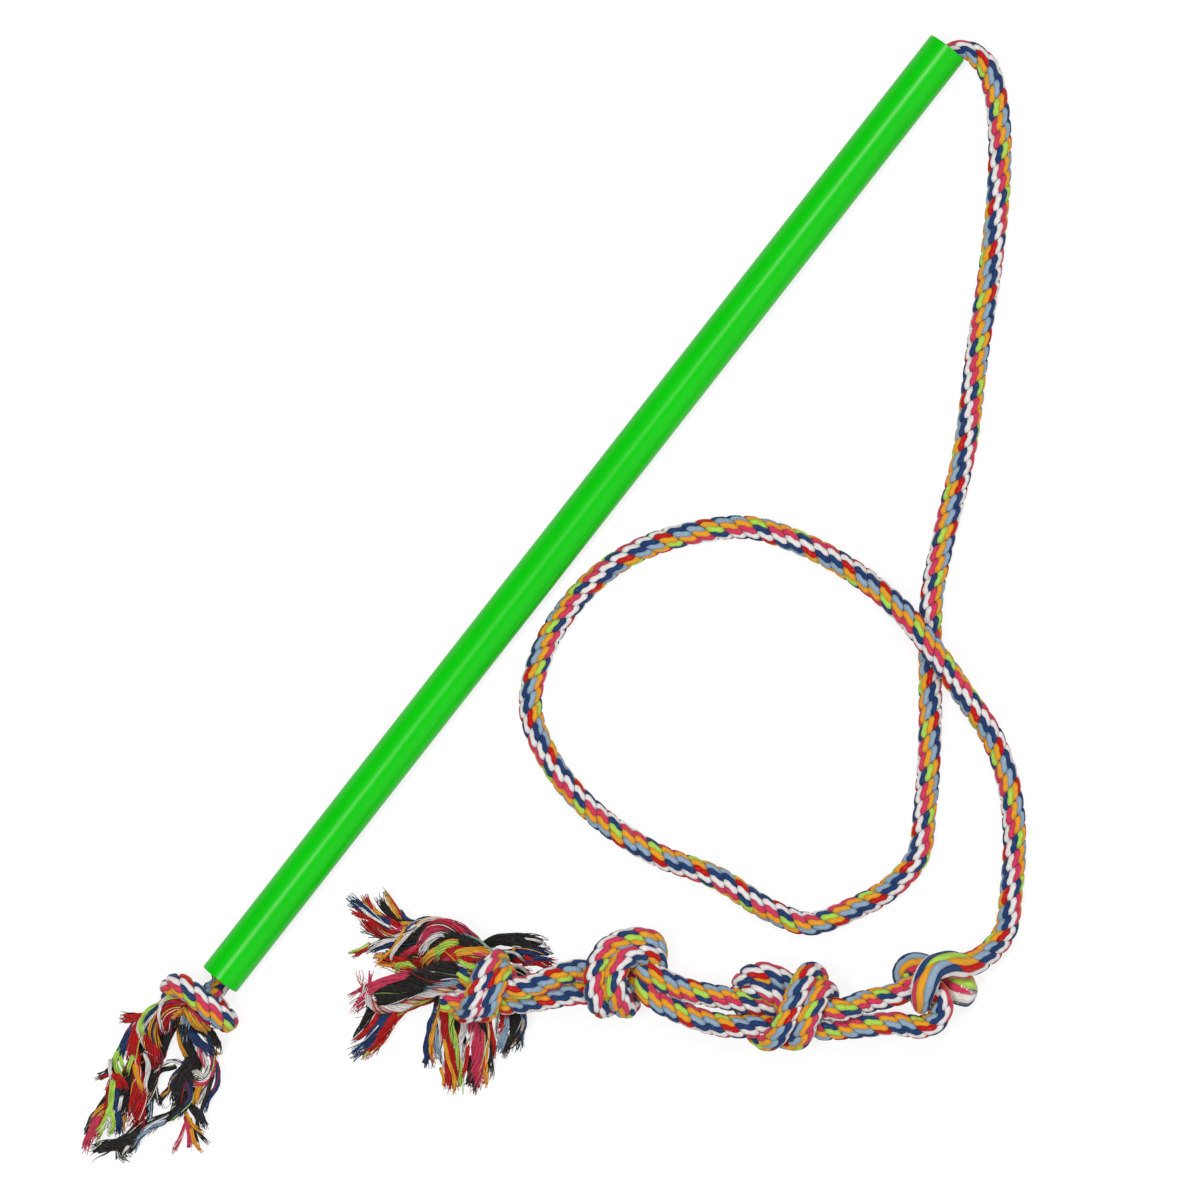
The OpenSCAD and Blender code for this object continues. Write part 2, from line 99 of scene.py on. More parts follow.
lead_route = lead_route + lead_lay[:, 2:] * [0, 0, rope_thick] + [0, 0, rope_thick / 2]
hitch_place = np.array([-16, -567, 0])
hitch_shares = np.array([
    [3.85, 3.3, 0.55], [3.05, 2.35, 0.95], [2, 1.85, 1.6], [1.1, 1.95, 2.3], [0.45, 1.75, 2.75],
    [0.1, 1.05, 2.8], [0, 0.3, 2.4], [0, 0, 1.65], [-0.08, 0.25, 0.95], [-0.3, 0.9, 0.5], [-0.68, 1.2, 0.5],
    [-0.76, 1.54, 0.5], [-0.36, 1.84, 0.5], [0.25, 1.75, 0.52], [0.75, 1.35, 0.55], [1.3, 0.98, 0.6],
    [1.7, 0.78, 0.72], [2.25, 0.64, 0.74], [2.6, 0.6, 0.74],
])
hitch_route = mouth + turned(hitch_place) + turned(hitch_shares) * rope_thick
lead_line = np.concatenate([handle_route, core_route, lead_route, hitch_route])
knot_end = len(handle_route) - 1
mouth_point = knot_end + len(core_route)
hitch_start = mouth_point + len(lead_route) + 1
lead_end = len(lead_line) - 1
tip_points = 5
tip_start = lead_end - tip_points

# How thick the rope is and how much of its twist is left at each point. It is squeezed in the pole, drawn
# thin where it goes down through the bight, and opens in the band of the hitch and in the tip.
bore_full = 0.83
mouth_full = [0.76, 0.78, 0.82, 0.94]
hitch_full = [1, 1.02, 1.06, 1.08, 1.1, 1.1, 0.84, 0.62, 0.72, 0.95, 1, 1, 1, 1, 0.95, 1.05, 1.3, 1.34, 0.3]
hitch_twist = [0.48, 0.27, 0.3, 0.3, 0.3, 0.6, 0.95, 0.95, 0.95, 0.95, 0.5, 0.7, 0.4, 0.15, 0.12, 0.12, 0.12]
core_full = [bore_full] * (len(core_route) - 1)
free_full = [1] * (len(lead_route) + 1 - len(mouth_full))
lead_full = [1] * len(handle_route) + core_full + mouth_full + free_full + hitch_full
lead_twist = [1] * (len(lead_line) - len(hitch_twist)) + hitch_twist

# The rope's make: a strand's place, depth and width are shares of the rope's thickness, and its yarns turn
# against the turn of the strand. Where the twist is let out, the yarns spread less and the strand is wider.
strand_count = 3
yarns = 5
yarn_sides = 6
lay_length = 28.5
yarn_turns = 2.22
yarn_start = 0.42
laid_full = 1.09
strand_off = 0.26
strand_deep = 0.24
strand_wide = 0.34
yarn_spread = 0.5
loose_gather = 0.3
loose_widen = 0.3
yarn_swell = np.tile([0.92, 0.975, 1, 1.008, 1, 0.975], yarns)
half_map = 0.5
# A dark tube inside the rope reaches just below the grooves between the strands and shows there as thin lines
# of painted shade. On the map it takes the dark edge of the first band.
shade_line_sides = 8
shade_line_reach = 0.388
shade_line_band = 0.004


class Run:
    """Even rings along a smooth line through a rope's points, in metres, with a side that never spins."""

    fine_steps = 40
    fewest = 4
    steep = 0.9

    def __init__(self, points, full, twist, step):
        points = np.array(points, float)
        span = np.diff(points, axis=0)
        size = np.linalg.norm(span, axis=1)[:, None]
        slope = np.concatenate([span[:1] / size[:1], span[-1:] / size[-1:]])
        inner = (span[:-1] * size[1:] / size[:-1] + span[1:] * size[:-1] / size[1:]) / (size[:-1] + size[1:])
        slope = np.concatenate([slope[:1], inner, slope[1:]])
        t = np.linspace(0, 1, self.fine_steps, endpoint=False)[None, :, None]
        u = 1 - t
        fine = (points[:-1, None] * (1 + 2 * t) * u * u + (slope[:-1] * size)[:, None] * t * u * u
                + points[1:, None] * t * t * (3 - 2 * t) - (slope[1:] * size)[:, None] * t * t * u)
        fine = np.concatenate([fine.reshape(-1, 3), points[-1:]])
        share = np.arange(len(fine)) / self.fine_steps
        walked = np.concatenate([[0], np.cumsum(np.linalg.norm(np.diff(fine, axis=0), axis=1))])
        count = max(self.fewest, round(walked[-1] / step))
        at = np.linspace(0, walked[-1], count + 1)
        number = np.arange(len(points))
        self.place = np.stack([np.interp(at, walked, fine[:, i]) for i in range(3)], 1) * mm
        self.full = np.sqrt(np.interp(np.interp(at, walked, share), number, np.square(full)))
        rate = np.interp(np.interp(at, walked, share), number, twist)
        self.loose = 1 - rate
        self.walked = at
        self.lays = np.concatenate([[0], np.cumsum(rate[1:] * np.diff(at))]) / lay_length
        self.ring = np.round(np.interp(number, share, walked) / walked[-1] * count).astype(int)
        along = np.gradient(self.place, axis=0)
        self.along = along / np.linalg.norm(along, axis=1)[:, None]
        side = [0.0, 0.0, 1.0] if abs(self.along[0][2]) < self.steep else [1.0, 0.0, 0.0]
        sides = []
        for direction in self.along:
            side = side - np.dot(side, direction) * direction
            side = side / np.linalg.norm(side)
            sides.append(side)
        self.side = np.array(sides)
        self.across = np.cross(self.along, self.side)


def tube_faces(rings, around, first):
    """Quads of a closed tube of rings and its two end faces."""
    i, j = np.meshgrid(np.arange(rings - 1), np.arange(around), indexing="ij")
    k = (j + 1) % around
    quads = np.stack([i * around + j, i * around + k, (i + 1) * around + k, (i + 1) * around + j], -1)
    near_cap = list(range(first + around - 1, first - 1, -1))
    far_cap = list(range(first + (rings - 1) * around, first + rings * around))
    return (quads.reshape(-1, 4) + first).tolist(), [near_cap, far_cap], i.ravel(), j.ravel()


class Skin:
    """The tubes of one piece, gathered with their pattern map and made into one mesh in the part's frame."""

    cap_reach = 0.4

    def __init__(self):
        self.verts, self.quads, self.caps, self.quad_map, self.cap_map = [], [], [], [], []
        self.count = 0

    def tube(self, rings, left, width, lays):
        """Adds a tube. Its pattern begins at left on the map, is width wide, and goes up it with the lays."""
        around = rings.shape[1]
        quads, caps, i, j = tube_faces(len(rings), around, self.count)
        x = left + np.stack([j, j + 1, j + 1, j], 1) / around * width
        y = np.stack([lays[i], lays[i], lays[i + 1], lays[i + 1]], 1)
        turn = np.arange(around) / around * 2 * math.pi
        disc_x = left + width * (0.5 + self.cap_reach * np.cos(turn))
        disc = np.stack([disc_x, lays[0] + self.cap_reach * np.sin(turn)], 1)
        self.quad_map.append(np.stack([x, y], -1).reshape(-1, 2))
        self.cap_map += [disc[::-1], disc]
        self.verts.append(rings.reshape(-1, 3))
        self.quads += quads
        self.caps += caps
        self.count += len(rings) * around

    def piece(self, name, material):
        """The mesh object of all the tubes, smooth along them and flat at their ends."""
        mesh = bpy.data.meshes.new(name)
        mesh.from_pydata(np.concatenate(self.verts).tolist(), [], self.quads + self.caps)
        smooth = np.ones(len(mesh.polygons), bool)
        smooth[len(self.quads):] = False
        mesh.polygons.foreach_set("use_smooth", smooth)
        layer = mesh.uv_layers.new(name="OFBake")
        whole_map = np.concatenate(self.quad_map + self.cap_map)
        layer.uv.foreach_set("vector", whole_map.astype(np.float32).ravel())
        mesh.materials.append(material)
        made = bpy.data.objects.new(name, mesh)
        bpy.context.scene.collection.objects.link(made)
        return made


def laid_rope(name, run, stretches, material, skip=1):
    """Three strands round a dark tube, painted shade in their grooves; the third has the map's second half.
    """
    skin = Skin()
    turn = np.arange(yarns * yarn_sides) / (yarns * yarn_sides) * 2 * math.pi
    for first, last in stretches:
        rings = np.unique(np.append(np.arange(run.ring[first], run.ring[last] + 1, skip), run.ring[last]))
        size = (rope_thick * laid_full * mm * run.full[rings])[:, None]
        loose = run.loose[rings][:, None]
        for strand in range(strand_count):
            theta = 2 * math.pi * (run.lays[rings] + strand / strand_count)[:, None]
            out = np.cos(theta) * run.side[rings] + np.sin(theta) * run.across[rings]
            beside = np.cos(theta) * run.across[rings] - np.sin(theta) * run.side[rings]
            back_turns = yarn_turns * run.lays[rings][:, None] + 2 * strand / strand_count - yarn_start
            angle = turn[None, :] - 2 * math.pi * back_turns
            angle = angle - (yarn_spread - loose_gather * loose) * np.sin(angle)
            deep = (np.cos(angle) * strand_deep * size * yarn_swell)[..., None]
            wide = (np.sin(angle) * strand_wide * (1 + loose_widen * loose) * size * yarn_swell)[..., None]
            centre = run.place[rings] + strand_off * size * out
            tube = centre[:, None] + out[:, None] * deep + beside[:, None] * wide
            tube[..., 2] = np.maximum(tube[..., 2], ground * mm)
            left = half_map if strand == strand_count - 1 else 0.0
            skin.tube(tube, left, half_map, run.lays[rings])
        # The dark tube of painted shade in the grooves between the strands.
        shade_line_turn = np.arange(shade_line_sides) / shade_line_sides * 2 * math.pi
        shade_line_out = run.side[rings][:, None] * np.cos(shade_line_turn)[:, None]
        shade_line_out = shade_line_out + run.across[rings][:, None] * np.sin(shade_line_turn)[:, None]
        core = run.place[rings][:, None] + shade_line_reach * size[..., None] * shade_line_out
        skin.tube(core, 0.0, shade_line_band, run.lays[rings])
    return skin.piece(name, material)


class Shade:
    """One socket in a material, so that shader maths reads as Python."""

    def __init__(self, tree, socket=None):
        self.tree = tree
        self.socket = socket

    def node(self, kind, settings=(), sockets=(), out=0):
        """A new node: its settings, then its sockets' values or links. One of its outputs comes back."""
        made = self.tree.nodes.new("ShaderNode" + kind)
        for name, value in dict(settings).items():
            if name == "stops":
                ramp = made.color_ramp
                ramp.elements.remove(ramp.elements[-1])
                ramp.elements[0].position, ramp.elements[0].color = value[0]
                for place, colour in value[1:]:
                    ramp.elements.new(place).color = colour
            elif name == "steps":
                made.color_ramp.interpolation = value
            else:
                setattr(made, name, value)
        for key, value in dict(sockets).items():
            if isinstance(value, Shade):
                self.tree.links.new(value.socket, made.inputs[key])
            else:
                made.inputs[key].default_value = value
        return Shade(self.tree, made.outputs[out])

    def other(self, out):
        """Another output of the same node."""
        return Shade(self.tree, self.socket.node.outputs[out])

    def math(self, operation, *values):
        return self.node("Math", {"operation": operation}, enumerate((self,) + values))

    def __add__(self, other):
        return self.math("ADD", other)

    __radd__ = __add__

    def __sub__(self, other):
        return self.math("SUBTRACT", other)

    def __rsub__(self, other):
        return self.math("MULTIPLY_ADD", -1.0, other)

    def __mul__(self, other):
        return self.math("MULTIPLY", other)

    __rmul__ = __mul__

    def __pow__(self, other):
        return self.math("POWER", other)

    def mix(self, settings, share, other):
        """A Mix node for colours: its sockets 6 and 7 are the colours, and its output 2 is what they give."""
        return self.node("Mix", {"data_type": "RGBA", **settings}, {0: share, 6: self, 7: other}, 2)

    def tint(self, grey):
        """This colour, multiplied by a grey."""
        return self.mix({"blend_type": "MULTIPLY"}, 1.0, grey)

    def fade(self, other, share):
        """This colour, blended into another by a share."""
        return self.mix({}, share, other)

    def fit(self, low, high, new_low, new_high):
        """This value, carried from one range to another."""
        return self.node("MapRange", {}, {0: self, 1: low, 2: high, 3: new_low, 4: new_high})


def new_material(name):
    """An empty material, its node tree to start from and its surface shader."""
    material = bpy.data.materials.new(name)
    material.use_nodes = True
    shader = next(n for n in material.node_tree.nodes if n.type == "BSDF_PRINCIPLED")
    return material, Shade(material.node_tree), shader


def paint(red, green, blue):
    """A colour from screen values of 0 to 255."""
    return [c / 12.92 if c <= 0.04045 else ((c + 0.055) / 1.055) ** 2.4
            for c in (red / 255, green / 255, blue / 255)] + [1.0]


navy = paint(27, 58, 110)
white = paint(236, 232, 230)
pink = paint(214, 56, 92)
orange = paint(236, 162, 34)
sky = paint(146, 172, 194)
lime = paint(176, 220, 84)
red = paint(196, 8, 10)
black = paint(36, 33, 31)
lint_pale = paint(225, 220, 214)
fibres_across = 5
lint_ring = 2.2


def cotton(name, colours, yarn_twist, fuzz, edge_shade):
    """Yarns side by side across the map, each a twist of fibres; along the map the pattern repeats."""
    material, start, shader = new_material(name)
    x = start.node("SeparateXYZ", {}, {0: start.node("UVMap", {"uv_map": "OFBake"})})
    y = x.other(1)
    bands = len(colours)
    stops = [(i / bands, c) for i, c in enumerate(colours)]
    colour = start.node("ValToRGB", {"steps": "CONSTANT", "stops": stops}, {0: x})
    edge = ((x * bands).math("FRACT") * 2 - 1).math("ABSOLUTE")
    ring = y * (2 * math.pi)
    fibres = x * (bands * fibres_across)
    round_y = {0: fibres, 1: lint_ring * ring.math("COSINE"), 2: lint_ring * ring.math("SINE")}
    spot = start.node("CombineXYZ", {}, round_y)
    lint = start.node("TexNoise", {}, {"Vector": spot, "Scale": 1.0, "Detail": 3.0, "Roughness": 0.65})
    wind = (fibres + y * yarn_twist + lint * 0.9) * (2 * math.pi)
    fibre = wind.math("SINE") * 0.5 + 0.5
    # Each band is painted lighter in its middle and darker to its edges: painted shade that rounds the yarns
    # and darkens the grooves between them. Fibres and lint vary it.
    shade = (1.1 - edge_shade * edge ** 2) * (0.8 + 0.22 * fibre) * lint.fit(0.3, 0.7, 0.84, 1.12)
    colour = colour.fade(lint_pale, lint.fit(0.52, 0.8, 0.0, fuzz)).tint(shade)
    start.tree.links.new(colour.socket, shader.inputs["Base Color"])
    rough = lint.fit(0.3, 0.7, 0.78, 0.95)
    start.tree.links.new(rough.socket, shader.inputs["Roughness"])
    shader.inputs["Specular IOR Level"].default_value = 0.2
    shader.inputs["Sheen Weight"].default_value = 0.1
    shader.inputs["Sheen Roughness"].default_value = 0.5
    relief = fibre * 0.45 + lint * 0.55
    bump = start.node("Bump", {}, {"Strength": 0.55, "Distance": 0.0004, "Height": relief})
    start.tree.links.new(bump.socket, shader.inputs["Normal"])
    return material


rope_colours = [navy, sky, orange, pink, white, red, orange, lime, navy, white]
rope_cotton = cotton("rope_cotton", rope_colours, yarn_twist=6, fuzz=0.1, edge_shade=0.38)
lead_step = 1.4
hidden_skip = 4
lead = Run(lead_line, lead_full, lead_twist, lead_step)
lead_stretches = (
    ("handle_knot", 0, knot_end, 1),
    ("lead_core", knot_end, mouth_point, hidden_skip),
    ("lead_rope", mouth_point, hitch_start, 1),
    ("hitch_knot", hitch_start, tip_start, 1),
    ("lead_tip", tip_start, lead_end, 1),
)
for node, first, last, skip in lead_stretches:
    piece = laid_rope(node + "_laid", lead, [(first, last)], rope_cotton, skip)
    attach(piece, "lead")
    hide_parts(node)

# The tug toy: a second length of the same rope, doubled. The hitch grips the bight, and both legs together go
# through a middle knot, a second knot and an end knot, each an overhand knot drawn tight in the doubled rope.
slant_upper = np.array([
    [-2.5, 0.35, 0.15], [-1.2, 0.1, 0], [-0.3, 0, -0.2], [0.6, 0.1, -0.6], [1.3, 0.6, -0.7],
    [1.5, 1.25, -0.3], [1.1, 1.5, 0.5], [0.7, 0.9, 1.05], [0.3, 0.05, 1.1], [-0.1, -0.8, 1],
    [-0.5, -1.4, 0.4], [-1, -1.45, -0.5], [-1.5, -0.8, -1], [-1.85, 0.2, -0.9], [-1.9, 0.9, -0.3],
    [-1.4, 1.45, 0.3], [-0.8, 1.5, 0.5], [-0.1, 1.2, 0.4], [0.6, 0.7, 0.2], [1.4, 0.15, 0.3],
    [2.65, -0.1, 0.55],
])
slant_lower = np.array([
    [-2.5, -0.9, 0.1], [-1.2, -0.9, 0], [-0.1, -0.85, -0.4], [0.9, -0.7, -0.8], [1.7, -0.2, -0.7],
    [2, 0.5, -0.1], [1.65, 0.7, 0.7], [1.32, 0.1, 1.1], [0.98, -0.65, 1.1], [0.75, -1.3, 0.6],
    [0.3, -1.5, -0.2], [-0.3, -1.2, -0.95], [-0.9, -0.4, -1.1], [-1.3, 0.4, -0.8], [-1.5, 0.8, -0.1],
    [-1.1, 0.85, 0.45], [-0.5, 0.6, 0.45], [0.1, 0.1, 0.25], [0.8, -0.5, 0.1], [1.5, -0.95, 0],
    [2.65, -1, -0.2],
])
arch_upper = np.array([
    [-2.2, 0.14, 0.15], [-1.2, 0.15, -0.1], [-0.2, 0.1, -0.3], [0.8, 0.2, -0.7], [1.3, 0.45, -0.8],
    [1.5, 0.95, -0.4], [1.3, 1.45, 0.1], [0.8, 1.62, 0.45], [0.2, 1.6, 0.75], [-0.7, 1.2, 0.95],
    [-1.2, 0.4, 1], [-1.3, -0.5, 1], [-1.15, -1.25, 0.6], [-0.85, -1.5, -0.2], [-0.5, -1.15, -0.9],
    [-0.1, -0.3, -1.1], [0.2, 0.45, -0.8], [0.6, 0.55, -0.1], [1.1, 0.15, 0.35], [1.7, -0.2, 0.35],
    [2.3, -0.5, 0.25],
])
arch_lower = np.array([
    [-2.2, -0.9, -0.1], [-1.2, -0.85, -0.1], [-0.2, -0.8, -0.3], [0.7, -0.6, -0.7], [1.3, -0.1, -0.8],
    [1.5, 0.45, -0.3], [1.25, 0.85, 0.3], [0.6, 0.95, 0.75], [0, 0.7, 1.05], [-0.35, 0.1, 1.1],
    [-0.35, -0.6, 1.1], [-0.1, -1.3, 0.6], [0.15, -1.5, -0.2], [0.35, -1.15, -0.9], [0.5, -0.5, -1],
    [0.65, -0.25, -0.5], [0.9, -0.6, 0.1], [1.5, -1.15, 0.15], [2.3, -1.59, 0.05],
])
toy_high = 1.62 * rope_thick
middle_place = np.array([-81, 0, 0])
second_place = np.array([-176, 19, 0])
end_place = np.array([-263, 12.475, 0])
bight_radius = 12.07


def on_toy(points):
    """Places on the part, in mm, from points right, forward and up of the middle of the hitch."""
    return mouth + turned(hitch_place + np.array(points, float)) + [0, 0, toy_high]


def knot_line(shares, centre, draw):
    """The way of one rope through a knot that is drawn tight along the toy and across it."""
    return on_toy(centre + shares * [draw[0], draw[1], 1] * rope_thick)


bight_in = [[-34.02, 2.43, 0], [-16.2, 6.48, 0]]
bight_out = [[-16.2, -10.125, 0], [-34.02, -11.745, 0]]
bight_turns = [math.radians(a) for a in range(90, -91, -30)]
bight_round = [[bight_radius * math.cos(a), bight_radius * math.sin(a), 0] for a in bight_turns]
bight = on_toy(bight_in + bight_round + bight_out)
upper_leg, lower_leg = [], []
toy_knots = (
    (slant_upper, slant_lower, end_place, (0.67, 0.79)),
    (arch_upper, arch_lower, second_place, (1, 1)),
    (slant_upper, slant_lower, middle_place, (1, 1)),
)
for upper, lower, place, draw in toy_knots:
    upper_leg.append(knot_line(upper, place, draw))
    lower_leg.append(knot_line(lower, place, draw))
toy_line = np.concatenate(upper_leg + [bight] + [np.concatenate(lower_leg)[::-1]])
toy_step = 0.9
toy = Run(toy_line, [1] * len(toy_line), [1] * len(toy_line), toy_step)

# Each node lies between points of the toy's line, which goes in along the upper leg from the end knot, round
# the bight, and out along the lower leg.
toy_stretches = (
    ("toy_bight", [(62, 74)]),
    ("middle_knot", [(42, 62), (74, 94)]),
    ("middle_leg_upper", [(41, 42)]),
    ("middle_leg_lower", [(94, 95)]),
    ("second_knot", [(21, 41), (95, 113)]),
    ("end_leg_upper", [(20, 21)]),
    ("end_leg_lower", [(113, 114)]),
    ("end_knot", [(0, 20), (114, 134)]),
)
for node, stretches in toy_stretches:
    piece = laid_rope(node + "_laid", toy, stretches, rope_cotton)
    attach(piece, "toy")
    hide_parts(node)

# Tassels: past the handle knot and the end knot the rope is unlaid. Each strand opens into coloured yarns and
# a black core, soft locks of cotton that twist, curl and fray to loose threads where they lie on the ground.
tassel_colours = [navy, white, pink, orange, sky, lime, red, black]
NAVY, WHITE, PINK, ORANGE, SKY, LIME, RED, BLACK = range(len(tassel_colours))

